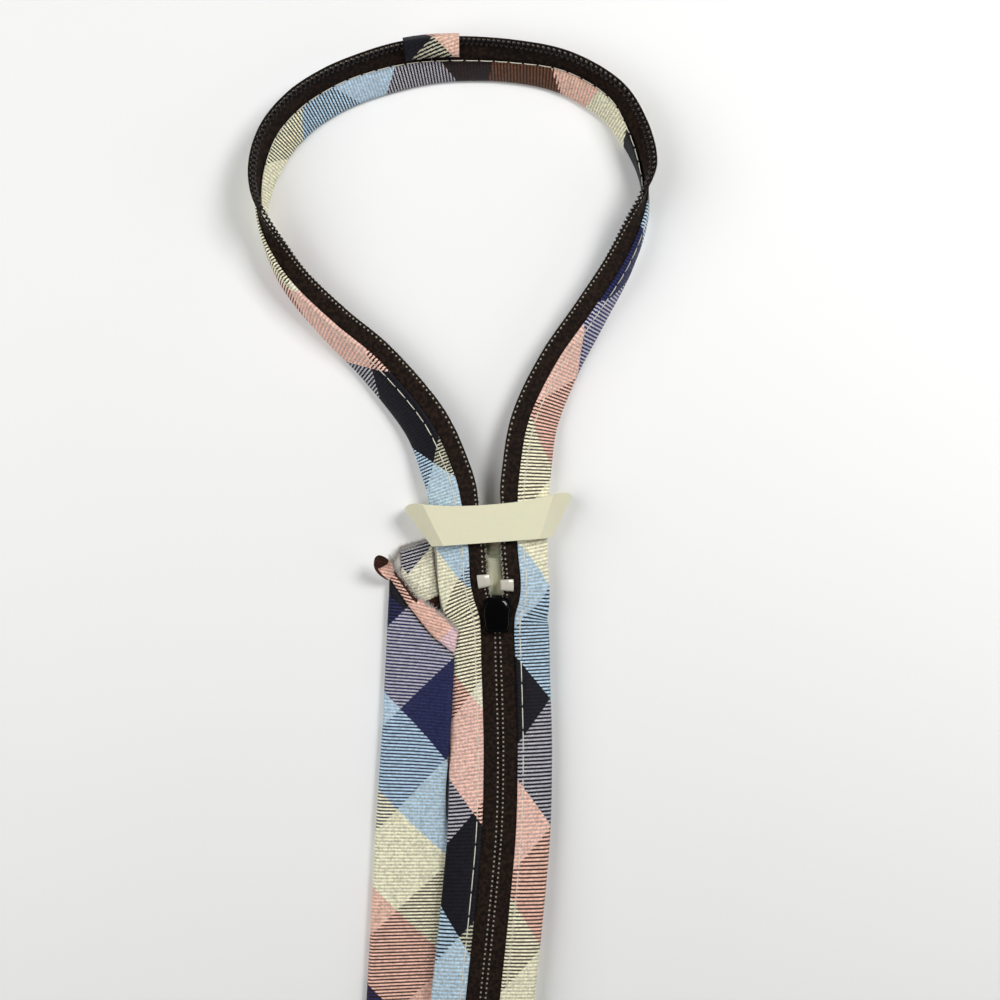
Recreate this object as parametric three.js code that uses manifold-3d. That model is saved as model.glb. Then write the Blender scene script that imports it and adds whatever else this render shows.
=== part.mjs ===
// Zipper tie lying face down: the reverse of the band and the bare knot former look up.
// Millimetres, +Z up. X runs across the tie, +Y from the knot towards the nape.

import * as THREE from 'three';
import { mergeVertices } from 'three/addons/utils/BufferGeometryUtils.js';
import Module from 'manifold-3d';

const wasm = await Module();
wasm.setup();

// Clearances
const GAP = 0.3;
const LAYER_GAP = 0.22;

// Neck loop, measured at the seam between cloth and zipper tape, from the middle of the knot
const LOOP_WIDTH = 115;
const LOOP_LENGTH = 138;
const SECTION_STEP = 6;
const TWIST_STEP = 9;

// Band section: a folded cloth casing holding one zipper tape
const CASING_DEPTH = 9.3;
const CASING_LIP = 1.0;
const CLOTH_WALL = 0.45;
const TAPE_THICKNESS = 0.5;
const TAPE_HELD = 4.0;
const TEETH_REACH = 6.3;
const TEETH_INTERLOCK = 0.4;
const COIL_WIDTH = 2.1;
const COIL_THICKNESS = 1.4;
const COIL_OVERHANG = 0.6;
const CASING_HALF = CLOTH_WALL + LAYER_GAP + TAPE_THICKNESS / 2;

// Closed zipper below the slider
const CHAIN_LENGTH = 144;
const CHAIN_START = 28.5;

// Blade: a front layer, a stiff core and folded back flaps
const BLADE_LENGTH = 486;
const BLADE_WIDTH = 80;
const BLADE_TURN = -0.9;
const BLADE_TOP = { x: -10.6, y: 0 };
const FRONT_WALL = 0.7;
const CORE_THICKNESS = 0.9;
const UNDER_FLAP = 0.6;
const TOP_FLAP = 0.7;
const FOLD_WALL = 1.2;
const CORE_PEEK = 0.6;
const SEAM_SLOT = 0.5;
const SEAM_SLOT_START = 39;
const CAVITY_FLOOR = FRONT_WALL;
const CAVITY_ROOF = FRONT_WALL + CORE_THICKNESS + 2 * GAP;
const UNDER_FLAP_TOP = CAVITY_ROOF + UNDER_FLAP;
const BLADE_THICKNESS = UNDER_FLAP_TOP + TOP_FLAP;

// Seam allowance along the slanted end of the top flap
const STRIP_WIDTH = 5;
const STRIP_THICKNESS = 0.6;
const CURL_RADIUS = 2.4;
const CURL_WIDTH = 4.2;

// Knot former: a bridge over the band, two flanks and a front plate
const KNOT_TO_REST = 12;
const KNOT = { x: -1.4, y: 8.1, turn: 4.2 };
const FORMER_TOP_WIDTH = 49.6;
const FORMER_BOTTOM_WIDTH = 35.4;
const FORMER_HEIGHT = 13.1;
const FORMER_HOLLOW = 2.0;
const FORMER_HORN = 1.5;
const RIDGE_TOP_WIDTH = 39.6;
const RIDGE_BOTTOM_WIDTH = 28;
const FLANK_DROP = 3.8;
const BRIDGE_WALL = 1.6;
const PLATE_THICKNESS = 1.2;
const PLATE_LENGTH = 29;
const PLATE_STEP = 0.5;
const PLATE_TIP_WIDTH = 17;
const PLATE_BASE = UNDER_FLAP_TOP + GAP;
const BAND_BASE = PLATE_BASE + PLATE_THICKNESS + GAP;
const KNOT_LEAN = 157;
const BAND_SEAM_HEIGHT = BAND_BASE + CASING_HALF + CASING_DEPTH * Math.sin(THREE.MathUtils.degToRad(KNOT_LEAN));
const BRIDGE_BASE = BAND_SEAM_HEIGHT + CASING_HALF / Math.cos(THREE.MathUtils.degToRad(180 - KNOT_LEAN)) + GAP;

// Slider and stops
const SLIDER_WIDTH = 8.1;
const SLIDER_LENGTH = 10.4;
const SLIDER_PLATE = 1.0;
const SLIDER_TOP = 29.2;
const WEDGE_LENGTH = 3.4;
const STOP_LENGTH = 4.2;
const STOP_WIDTH = 4.2;
const STOP_WALL = 0.7;
const STOP_TOP = 23.6;

// Cloth tab that wraps the two tape ends at the nape
const KEEPER_LENGTH = 15.8;
const KEEPER_WALL = 0.5;
const NAPE_STATION = 14.6;
const NAPE_GAP = 0.02;

// Plain end of the closed zipper
const END_TAB_LENGTH = 9;
const END_TAB_THICKNESS = 1.6;

// The loop, from the left side of the knot over the nape to its right side.
// across and along are shares of LOOP_WIDTH and LOOP_LENGTH, edge is the height of the cloth's
// edge as a share of BAND_BASE, tape and cloth are leans in degrees: 180 lies flat with the
// teeth inward, 90 stands with the teeth up, 0 would lie flat with the teeth outward.
const LOOP_STATIONS = [
  { across: -0.088, along: 0.040, edge: 0.99, tape: 180, cloth: 157 },
  { across: -0.109, along: 0.112, edge: 0.89, tape: 180, cloth: 154 },
  { across: -0.172, along: 0.225, edge: 0.40, tape: 175, cloth: 142 },
  { across: -0.295, along: 0.346, edge: 0.06, tape: 172, cloth: 133 },
  { across: -0.404, along: 0.422, edge: 0.00, tape: 172, cloth: 119 },
  { across: -0.502, along: 0.499, edge: 0.00, tape: 164, cloth: 107 },
  { across: -0.556, along: 0.559, edge: 0.00, tape: 152, cloth: 99 },
  { across: -0.589, along: 0.624, edge: 0.00, tape: 120, cloth: 92 },
  { across: -0.601, along: 0.695, edge: 0.00, tape: 82, cloth: 81 },
  { across: -0.594, along: 0.767, edge: 0.00, tape: 63, cloth: 63 },
  { across: -0.563, along: 0.840, edge: 0.00, tape: 56, cloth: 46 },
  { across: -0.503, along: 0.899, edge: 0.00, tape: 53, cloth: 39 },
  { across: -0.430, along: 0.941, edge: 0.00, tape: 53, cloth: 37 },
  { across: -0.350, along: 0.971, edge: 0.00, tape: 53, cloth: 37 },
  { across: -0.230, along: 0.995, edge: 0.00, tape: 42, cloth: 45 },
  { across: -0.107, along: 1.001, edge: 0.00, tape: 34, cloth: 57 },
  { across: 0.050, along: 0.996, edge: 0.00, tape: 43, cloth: 60 },
  { across: 0.188, along: 0.978, edge: 0.00, tape: 54, cloth: 52 },
  { across: 0.302, along: 0.921, edge: 0.00, tape: 51, cloth: 54 },
  { across: 0.354, along: 0.844, edge: 0.00, tape: 41, cloth: 73 },
  { across: 0.382, along: 0.769, edge: 0.00, tape: 50, cloth: 88 },
  { across: 0.391, along: 0.709, edge: 0.00, tape: 92, cloth: 94 },
  { across: 0.383, along: 0.646, edge: 0.00, tape: 132, cloth: 98 },
  { across: 0.338, along: 0.554, edge: 0.00, tape: 163, cloth: 105 },
  { across: 0.255, along: 0.447, edge: 0.00, tape: 172, cloth: 116 },
  { across: 0.171, along: 0.346, edge: 0.06, tape: 172, cloth: 132 },
  { across: 0.102, along: 0.227, edge: 0.40, tape: 176, cloth: 146 },
  { across: 0.077, along: 0.112, edge: 0.85, tape: 179, cloth: 154 },
  { across: 0.072, along: 0.040, edge: 0.99, tape: 180, cloth: 157 },
];

// Where the two legs part above the slider: down is a share of CHAIN_START, left and right are
// the seam's distances from the knot's middle as shares of LOOP_WIDTH.
const THROAT_STATIONS = [
  { down: 0.214, left: -0.072, right: 0.072, edge: 0.99, cloth: 157 },
  { down: 0.565, left: -0.067, right: 0.080, edge: 0.97, cloth: 158 },
  { down: 0.772, left: -0.057, right: 0.077, edge: 0.93, cloth: 160 },
];

// Closed zipper: down is a share of CHAIN_LENGTH below CHAIN_START, across is its middle line as
// a share of LOOP_WIDTH, edge a share of BAND_BASE.
const CHAIN_STATIONS = [
  { down: 0.000, across: 0.011, edge: 0.89, cloth: 163 },
  { down: 0.083, across: 0.014, edge: 0.87, cloth: 168 },
  { down: 0.181, across: 0.018, edge: 0.85, cloth: 172 },
  { down: 0.285, across: 0.020, edge: 0.85, cloth: 173 },
  { down: 0.438, across: 0.015, edge: 0.95, cloth: 174 },
  { down: 0.615, across: -0.005, edge: 1.21, cloth: 174 },
  { down: 0.750, across: -0.023, edge: 1.33, cloth: 174 },
  { down: 1.000, across: -0.056, edge: 1.05, cloth: 174 },
];

// Blade: along is a share of BLADE_LENGTH from the top, half a share of BLADE_WIDTH.
const BLADE_STATIONS = [
  { along: 0, half: 0.246 },
  { along: 0.06, half: 0.256 },
  { along: 0.12, half: 0.268 },
  { along: 0.18, half: 0.286 },
  { along: 0.24, half: 0.300 },
  { along: 0.30, half: 0.314 },
  { along: 0.40, half: 0.335 },
  { along: 0.52, half: 0.365 },
  { along: 0.64, half: 0.400 },
  { along: 0.76, half: 0.440 },
  { along: 0.86, half: 0.478 },
  { along: 0.92, half: 0.500 },
  { along: 1, half: 0.006 },
];

// Raw end of the blade's layers and slanted end of the top flap, in shares of BLADE_WIDTH across
// from the knot's middle and down from it.
const RAW_END = [[-0.55, -0.15], [-0.376, -0.138], [-0.346, -0.085], [-0.235, -0.055], [0.3, -0.02]];
const SLANT_END = [[-0.55, -0.185], [-0.391, -0.185], [-0.168, -0.465], [-0.15, -0.49], [0.3, -0.49]];

const rad = THREE.MathUtils.degToRad;

/** Catmull-Rom value of one column of a list of rows at parameter u, in rows. */
function columnAt(rows, name, u) {
  const last = rows.length - 1;
  const i = Math.min(Math.floor(u), last - 1);
  const f = u - i;
  const p1 = rows[i][name];
  const p2 = rows[i + 1][name];
  const p0 = i > 0 ? rows[i - 1][name] : 2 * p1 - p2;
  const p3 = i + 2 <= last ? rows[i + 2][name] : 2 * p2 - p1;
  return p1 + 0.5 * f * (p2 - p0 + f * (2 * p0 - 5 * p1 + 4 * p2 - p3 + f * (3 * (p1 - p2) + p3 - p0)));
}

/** Height of the seam over a cloth edge that stands at `edge` and leans by `cloth`. */
function seamHeight(edge, cloth) {
  return edge * BAND_BASE + CASING_HALF * Math.abs(Math.cos(rad(cloth))) + CASING_DEPTH * Math.sin(rad(cloth));
}

/** The whole seam, from the left end of the closed zipper round the neck to its right end. */
function bandRows() {
  const closedHalf = TEETH_REACH - TEETH_INTERLOCK + GAP / 2;
  const chain = CHAIN_STATIONS.map((s) => ({
    y: -CHAIN_START - s.down * CHAIN_LENGTH, middle: s.across * LOOP_WIDTH, cloth: s.cloth,
    tape: 180, z: seamHeight(s.edge, s.cloth), closed: 1,
  }));
  const throat = THROAT_STATIONS.map((s) => ({
    y: -s.down * CHAIN_START, left: s.left * LOOP_WIDTH, right: s.right * LOOP_WIDTH,
    cloth: s.cloth, tape: 180, z: seamHeight(s.edge, s.cloth), closed: 0,
  }));
  const loop = LOOP_STATIONS.map((s) => ({
    x: s.across * LOOP_WIDTH, y: s.along * LOOP_LENGTH, cloth: s.cloth, tape: s.tape,
    z: seamHeight(s.edge, s.cloth), closed: 0,
  }));
  const leftEnd = chain.map((s) => ({ ...s, x: s.middle - closedHalf })).reverse();
  const leftThroat = throat.map((s) => ({ ...s, x: s.left })).reverse();
  const rightThroat = throat.map((s) => ({ ...s, x: s.right }));
  const rightEnd = chain.map((s) => ({ ...s, x: s.middle + closedHalf }));
  return [...leftEnd, ...leftThroat, ...loop, ...rightThroat, ...rightEnd];
}

/** Frames along the seam, about SECTION_STEP apart, each with its place and two directions. */
function bandFrames(rows) {
  const frames = [];
  const point = (u) => new THREE.Vector3(...['x', 'y', 'z'].map((name) => columnAt(rows, name, u)));
  let length = 0;
  for (let i = 0; i < rows.length - 1; i += 1) {
    const span = point(i + 1).distanceTo(point(i));
    const twist = Math.abs(rows[i + 1].tape - rows[i].tape);
    const steps = Math.max(1, Math.round(span / SECTION_STEP), Math.ceil(twist / TWIST_STEP));
    for (let k = 0; k < steps; k += 1) {
      frames.push(i + k / steps);
    }
  }
  frames.push(rows.length - 1);
  return frames.map((u, i) => {
    const at = point(u);
    if (i > 0) {
      length += at.distanceTo(point(frames[i - 1]));
    }
    return { ...frameAt(rows, u), length };
  });
}

/** Place and section directions of the band at parameter u. */
function frameAt(rows, u) {
  const last = rows.length - 1;
  const at = new THREE.Vector3(...['x', 'y', 'z'].map((name) => columnAt(rows, name, u)));
  const before = Math.max(0, u - 0.05);
  const after = Math.min(last, u + 0.05);
  const dx = columnAt(rows, 'x', after) - columnAt(rows, 'x', before);
  const dy = columnAt(rows, 'y', after) - columnAt(rows, 'y', before);
  const outward = new THREE.Vector3(-dy, dx, 0).normalize();
  const up = new THREE.Vector3(0, 0, 1);
  const along = (lean) => outward.clone().multiplyScalar(Math.cos(lean)).addScaledVector(up, Math.sin(lean));
  const face = (lean) => outward.clone().multiplyScalar(Math.sin(lean)).addScaledVector(up, -Math.cos(lean));
  const tape = rad(columnAt(rows, 'tape', u));
  const cloth = rad(columnAt(rows, 'cloth', u));
  const closed = THREE.MathUtils.clamp(columnAt(rows, 'closed', u), 0, 1);
  return {
    u, at, reach: TEETH_REACH - TEETH_INTERLOCK * closed,
    tapeWay: along(tape), tapeFace: face(tape), clothWay: along(cloth), clothFace: face(cloth),
  };
}

/** A point of the band's section: w runs from the seam to the teeth, t towards the reverse. */
function bandPoint(frame, w, t) {
  const point = frame.at.clone();
  if (w === 0) {
    const bisector = frame.tapeFace.clone().add(frame.clothFace).normalize();
    return point.addScaledVector(bisector, t / bisector.dot(frame.tapeFace));
  }
  const onTape = w > 0;
  return point.addScaledVector(onTape ? frame.tapeWay : frame.clothWay, w)
    .addScaledVector(onTape ? frame.tapeFace : frame.clothFace, t);
}

/** Closed skin through rings of points that all have the same count, with flat ends. */
function skin(rings) {
  const count = rings[0].length;
  const positions = rings.flatMap((ring) => ring.flatMap((p) => p.toArray()));
  const index = [];
  for (let r = 0; r < rings.length - 1; r += 1) {
    for (let i = 0; i < count; i += 1) {
      const j = (i + 1) % count;
      const a = r * count + i;
      const b = r * count + j;
      const rising = rings[r][i].distanceTo(rings[r + 1][j]);
      const falling = rings[r][j].distanceTo(rings[r + 1][i]);
      if (rising < falling) {
        index.push(a, b, b + count, a, b + count, a + count);
      } else {
        index.push(a, b, a + count, b, b + count, a + count);
      }
    }
  }
  for (const [ring, offset, forward] of [[rings[0], 0, false], [rings.at(-1), (rings.length - 1) * count, true]]) {
    for (const [a, b, c] of THREE.ShapeUtils.triangulateShape(flatten(ring), [])) {
      index.push(...(forward ? [offset + a, offset + b, offset + c] : [offset + a, offset + c, offset + b]));
    }
  }
  const geometry = new THREE.BufferGeometry();
  geometry.setAttribute('position', new THREE.Float32BufferAttribute(positions, 3));
  geometry.setIndex(index);
  return outward(geometry);
}

/** The ring's points in its own plane, in an order that keeps them counter-clockwise. */
function flatten(ring) {
  const origin = ring[0];
  const normal = new THREE.Vector3();
  ring.forEach((p, i) => {
    const q = ring[(i + 1) % ring.length];
    normal.add(p.clone().sub(origin).cross(q.clone().sub(origin)));
  });
  normal.normalize();
  const across = ring.reduce((far, p) => (p.distanceTo(origin) > far.distanceTo(origin) ? p : far)).clone();
  across.sub(origin).normalize();
  const other = normal.clone().cross(across);
  return ring.map((p) => {
    const d = p.clone().sub(origin);
    return new THREE.Vector2(d.dot(across), d.dot(other));
  });
}

/** The same geometry with its faces turned to look out, whatever the ring's sense was. */
function outward(geometry) {
  const position = geometry.getAttribute('position');
  const index = Array.from(geometry.getIndex().array);
  const [a, b, c] = [new THREE.Vector3(), new THREE.Vector3(), new THREE.Vector3()];
  let volume = 0;
  for (let i = 0; i < index.length; i += 3) {
    a.fromBufferAttribute(position, index[i]);
    b.fromBufferAttribute(position, index[i + 1]);
    c.fromBufferAttribute(position, index[i + 2]);
    volume += a.dot(b.cross(c));
  }
  if (volume < 0) {
    for (let i = 0; i < index.length; i += 3) {
      [index[i + 1], index[i + 2]] = [index[i + 2], index[i + 1]];
    }
    geometry.setIndex(index);
  }
  return geometry;
}

/** Manifold solid of a closed geometry. */
function solidOf(geometry) {
  const bare = geometry.clone();
  bare.deleteAttribute('normal');
  bare.deleteAttribute('uv');
  const merged = mergeVertices(bare, 1e-4);
  const mesh = new wasm.Mesh({
    numProp: 3,
    vertProperties: new Float32Array(merged.getAttribute('position').array),
    triVerts: new Uint32Array(merged.getIndex().array),
  });
  return new wasm.Manifold(mesh);
}

/** Geometry of a manifold solid. */
function geometryOf(solid) {
  const mesh = solid.getMesh();
  const geometry = new THREE.BufferGeometry();
  geometry.setAttribute('position', new THREE.Float32BufferAttribute(mesh.vertProperties, 3));
  geometry.setIndex(Array.from(mesh.triVerts));
  return geometry;
}

/** Upright prism over a flat outline given as [x, y] pairs or a Shape. */
function prism(outline, base, top) {
  const shape = outline instanceof THREE.Shape ? outline : new THREE.Shape(outline.map((p) => new THREE.Vector2(...p)));
  return new THREE.ExtrudeGeometry(shape, { depth: top - base, bevelEnabled: false, curveSegments: 10 })
    .translate(0, 0, base);
}

/** A piece of the band: its section swept through a list of frames. */
function bandPiece(frames, section) {
  return skin(frames.map((frame) => section(frame).map(([w, t]) => bandPoint(frame, w, t))));
}

/** Section of the folded cloth casing: both walls, open towards the teeth. */
function casingSection() {
  const inner = CASING_HALF - CLOTH_WALL;
  const floor = -CASING_DEPTH + CLOTH_WALL;
  return [
    [CASING_LIP, CASING_HALF], [0, CASING_HALF], [-CASING_DEPTH + 0.3, CASING_HALF],
    [-CASING_DEPTH, 0.5 * CASING_HALF], [-CASING_DEPTH, -0.5 * CASING_HALF],
    [-CASING_DEPTH + 0.3, -CASING_HALF], [-CASING_LIP, -CASING_HALF],
    [-CASING_LIP, -inner], [-TAPE_HELD, -inner], [floor, -inner], [floor, inner], [-TAPE_HELD, inner],
    [0, inner], [CASING_LIP, inner],
  ];
}

/** Section of the woven tape, held in the casing and bare towards the teeth. */
function tapeSection(frame) {
  const half = TAPE_THICKNESS / 2;
  const edge = frame.reach - COIL_OVERHANG;
  return [[edge, half], [0, half], [-TAPE_HELD, half], [-TAPE_HELD, -half], [0, -half], [edge, -half]];
}

/** Section of the coil strip sewn to the tape's other face. */
function coilSection(frame) {
  const top = -TAPE_THICKNESS / 2 - LAYER_GAP;
  const bottom = top - COIL_THICKNESS;
  const inner = frame.reach - COIL_WIDTH;
  return [
    [inner, top], [inner, bottom + 0.4], [inner + 0.4, bottom],
    [frame.reach - 0.4, bottom], [frame.reach, bottom + 0.4], [frame.reach, top],
  ];
}

/** C section of a clip round the tape's edge, open towards the cloth. */
function clipSection(wall, width, clearance, coilDepth) {
  return (frame) => {
    const top = TAPE_THICKNESS / 2 + clearance;
    const bottom = -TAPE_THICKNESS / 2 - LAYER_GAP - coilDepth - clearance;
    const edge = frame.reach + clearance;
    const open = edge + wall - width;
    return [
      [open, top], [open, top + wall], [edge + wall - 0.3, top + wall], [edge + wall, top],
      [edge + wall, bottom], [edge + wall - 0.3, bottom - wall], [open, bottom - wall], [open, bottom],
      [edge, bottom], [edge, top],
    ];
  };
}

/** Frames of a short stretch of one leg, between two heights y. */
function legFrames(rows, side, yTop, yBottom, steps) {
  const last = rows.length - 1;
  const find = (y) => {
    let low = side === 'left' ? 0 : last;
    let high = last / 2;
    for (let i = 0; i < 40; i += 1) {
      const mid = (low + high) / 2;
      if (columnAt(rows, 'y', mid) < y) {
        low = mid;
      } else {
        high = mid;
      }
    }
    return low;
  };
  const [a, b] = [find(yTop), find(yBottom)];
  return Array.from({ length: steps + 1 }, (_, i) => frameAt(rows, a + ((b - a) * i) / steps));
}

/** Clip pressed over the coil edge of one leg. */
function makeStop(rows, side) {
  const frames = legFrames(rows, side, -STOP_TOP + KNOT.y, -STOP_TOP - STOP_LENGTH + KNOT.y, 2);
  return bandPiece(frames, clipSection(STOP_WALL, STOP_WIDTH, GAP, COIL_THICKNESS));
}

/** Cloth tab folded over the teeth edge where the two tapes meet. */
function makeKeeper(rows) {
  const perRow = frameAt(rows, nape + 0.5).at.distanceTo(frameAt(rows, nape - 0.5).at);
  const half = KEEPER_LENGTH / perRow / 2;
  const stretch = Array.from({ length: 5 }, (_, i) => frameAt(rows, nape + half * (i / 2 - 1)));
  const width = TEETH_REACH - CASING_LIP + KEEPER_WALL;
  return bandPiece(stretch, clipSection(KEEPER_WALL, width, GAP, COIL_THICKNESS));
}

/** Slider body: two plates with rounded shoulders, joined by the wedge that parts the teeth. */
function makeSlider(rows) {
  const top = -SLIDER_TOP + KNOT.y;
  const [left] = legFrames(rows, 'left', top - SLIDER_LENGTH / 2, top - SLIDER_LENGTH, 1);
  const [right] = legFrames(rows, 'right', top - SLIDER_LENGTH / 2, top - SLIDER_LENGTH, 1);
  const tapeHeights = ['left', 'right'].flatMap((side) => legFrames(rows, side, top, top - SLIDER_LENGTH, 4))
    .map((frame) => frame.at.z);
  const middle = (left.at.x + right.at.x) / 2;
  const half = SLIDER_WIDTH / 2;
  const outline = new THREE.Shape();
  outline.moveTo(-0.62 * half, -SLIDER_LENGTH);
  outline.lineTo(0.62 * half, -SLIDER_LENGTH);
  outline.quadraticCurveTo(0.9 * half, -SLIDER_LENGTH, 0.92 * half, -0.8 * SLIDER_LENGTH);
  outline.lineTo(half, -0.35 * SLIDER_LENGTH);
  outline.quadraticCurveTo(half, 0, 0.5 * half, 0);
  outline.lineTo(-0.5 * half, 0);
  outline.quadraticCurveTo(-half, 0, -half, -0.35 * SLIDER_LENGTH);
  outline.lineTo(-0.92 * half, -0.8 * SLIDER_LENGTH);
  outline.quadraticCurveTo(-0.9 * half, -SLIDER_LENGTH, -0.62 * half, -SLIDER_LENGTH);
  const backBase = Math.max(...tapeHeights) + TAPE_THICKNESS / 2 + GAP;
  const frontTop = Math.min(...tapeHeights) - TAPE_THICKNESS / 2 - LAYER_GAP - COIL_THICKNESS - GAP;
  const back = solidOf(prism(outline, backBase, backBase + SLIDER_PLATE));
  const front = solidOf(prism(outline, frontTop - SLIDER_PLATE, frontTop));
  const wedge = solidOf(prism(
    [[0, -WEDGE_LENGTH], [0.1 * half, -0.6 * WEDGE_LENGTH], [0.16 * half, -0.3], [-0.16 * half, -0.3],
      [-0.1 * half, -0.6 * WEDGE_LENGTH]],
    frontTop - 0.5 * SLIDER_PLATE, backBase + 0.5 * SLIDER_PLATE,
  ));
  return geometryOf(back.add(front).add(wedge)).translate(middle, top, 0);
}

/** Trapezoid outline of the former's bridge, with a hollow upper edge between two horns. */
function bridgeOutline(topWidth, bottomWidth) {
  const a = topWidth / 2;
  const b = bottomWidth / 2;
  const shape = new THREE.Shape();
  shape.moveTo(-b, -FORMER_HEIGHT);
  shape.lineTo(b, -FORMER_HEIGHT);
  shape.lineTo(a, -FORMER_HORN);
  shape.quadraticCurveTo(a - 0.4, 0, a - 3.4, 0);
  shape.quadraticCurveTo(0.5 * a, -FORMER_HOLLOW, 0, -FORMER_HOLLOW);
  shape.quadraticCurveTo(-0.5 * a, -FORMER_HOLLOW, -a + 3.4, 0);
  shape.quadraticCurveTo(-a + 0.4, 0, -a, -FORMER_HORN);
  shape.closePath();
  return shape;
}

/** Section of the passage under the bridge at one end: floor, sides and a roof that follows the band. */
function passageRing(y, seamHalf, edgeHalf) {
  const floor = PLATE_BASE + PLATE_THICKNESS;
  const side = BAND_BASE + 2 * CASING_HALF + GAP;
  return [
    [-edgeHalf, floor], [edgeHalf, floor], [edgeHalf, side], [seamHalf, BRIDGE_BASE], [-seamHalf, BRIDGE_BASE],
    [-edgeHalf, side],
  ].map(([x, z]) => new THREE.Vector3(x, y, z));
}

/** The knot former: bridge, sloping flanks and front plate in one moulding. */
function makeFormer() {
  const top = BRIDGE_BASE + BRIDGE_WALL;
  const body = solidOf(prism(bridgeOutline(FORMER_TOP_WIDTH, FORMER_BOTTOM_WIDTH), PLATE_BASE, top));
  const passage = solidOf(skin([
    passageRing(2 * GAP, 10.6, FORMER_TOP_WIDTH / 2 - 2.4),
    passageRing(-FORMER_HEIGHT - 2 * GAP, 9.2, FORMER_BOTTOM_WIDTH / 2 + 0.2),
  ]));
  const flank = (side) => solidOf(skin([
    [FORMER_TOP_WIDTH, RIDGE_TOP_WIDTH, 0], [FORMER_BOTTOM_WIDTH, RIDGE_BOTTOM_WIDTH, -FORMER_HEIGHT],
  ].map(([outerWidth, ridgeWidth, y]) => {
    const run = (outerWidth - ridgeWidth) / 2;
    const sx = (x) => side * x;
    const beyond = (y === 0 ? 1 : -1) * GAP;
    return [
      new THREE.Vector3(sx(ridgeWidth / 2 - 0.2 * run), y + beyond, top + 0.2 * FLANK_DROP),
      new THREE.Vector3(sx(outerWidth / 2 + 0.3 * run), y + beyond, top + 0.2 * FLANK_DROP),
      new THREE.Vector3(sx(outerWidth / 2 + 0.3 * run), y + beyond, top - 1.3 * FLANK_DROP),
    ];
  })));
  const plate = solidOf(prism([
    [-FORMER_BOTTOM_WIDTH / 2 + 1.4, -FORMER_HEIGHT + 0.5], [-PLATE_TIP_WIDTH / 2, -PLATE_LENGTH + 2],
    [-PLATE_TIP_WIDTH / 2 + 2, -PLATE_LENGTH], [PLATE_TIP_WIDTH / 2 - 2, -PLATE_LENGTH],
    [PLATE_TIP_WIDTH / 2, -PLATE_LENGTH + 2], [FORMER_BOTTOM_WIDTH / 2 - 1.4, -FORMER_HEIGHT + 0.5],
  ], PLATE_BASE, PLATE_BASE + PLATE_THICKNESS - PLATE_STEP));
  const solid = body.subtract(passage).subtract(flank(1)).subtract(flank(-1)).add(plate);
  return geometryOf(solid).rotateZ(rad(KNOT.turn)).translate(KNOT.x, KNOT.y, 0);
}

/** Rings of the blade's outer skin, or of a flat layer inside it. */
function bladeRing(along, half, base, top, round) {
  const y = -along * BLADE_LENGTH;
  const middle = (base + top) / 2;
  const depth = (top - base) / 2;
  const fold = round * Math.min(depth, 0.9 * half);
  const points = [];
  for (const side of [1, -1]) {
    for (let i = 0; i <= 4; i += 1) {
      const angle = side * (-0.5 + i / 4) * Math.PI;
      const run = half - fold + fold * Math.cos(angle);
      points.push(new THREE.Vector3(side * run, y, middle + side * depth * Math.sin(side * angle)));
    }
  }
  return points;
}

/** Closed flat tube following the blade's outline, inset by a wall and cut to a share range. */
function bladeTube(inset, base, top, from, to, round) {
  const rings = BLADE_STATIONS.filter((s) => s.along >= from && s.along <= to)
    .map((s) => bladeRing(s.along, Math.max(s.half * BLADE_WIDTH - inset, 1.2), base, top, round));
  return skin(rings);
}

/** Turns a blade geometry from its own axis to its place under the knot. */
function placeBlade(geometry) {
  return geometry.rotateZ(rad(BLADE_TURN)).translate(BLADE_TOP.x, BLADE_TOP.y, 0);
}

/** Prism over everything that lies above a stepped line given in shares of BLADE_WIDTH. */
function aboveLine(line, base, top, shift) {
  const points = line.map(([x, y]) => [x * BLADE_WIDTH, y * BLADE_WIDTH + shift]);
  const ceiling = BLADE_WIDTH;
  return solidOf(prism([[points[0][0], ceiling], ...points, [points.at(-1)[0], ceiling]].reverse(), base, top));
}

/** Blade envelope: front layer, rounded folds, back flaps, open at the raw top end. */
function makeBlade() {
  const outer = solidOf(placeBlade(bladeTube(0, 0, BLADE_THICKNESS, 0, 1, 1)));
  const cavity = solidOf(placeBlade(bladeTube(FOLD_WALL, CAVITY_FLOOR, CAVITY_ROOF, 0, 0.92, 0).translate(0, GAP, 0)));
  const slot = solidOf(placeBlade(prism([
    [-SEAM_SLOT / 2, -0.9 * BLADE_LENGTH], [SEAM_SLOT / 2, -0.9 * BLADE_LENGTH],
    [SEAM_SLOT / 2, -SEAM_SLOT_START], [-SEAM_SLOT / 2, -SEAM_SLOT_START],
  ], UNDER_FLAP_TOP, BLADE_THICKNESS + GAP)));
  const solid = outer.subtract(cavity).subtract(slot)
    .subtract(aboveLine(RAW_END, -GAP, BLADE_THICKNESS + GAP, 0))
    .subtract(aboveLine(SLANT_END, UNDER_FLAP_TOP, BLADE_THICKNESS + GAP, 0));
  return geometryOf(solid);
}

/** Stiff core inside the blade, its fuzzy end just past the raw cloth. */
function makeCore() {
  const plate = solidOf(placeBlade(bladeTube(FOLD_WALL + GAP, CAVITY_FLOOR + GAP, CAVITY_ROOF - GAP, 0, 0.86, 0)));
  return geometryOf(plate.subtract(aboveLine(RAW_END, -GAP, BLADE_THICKNESS + GAP, CORE_PEEK)));
}

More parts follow.
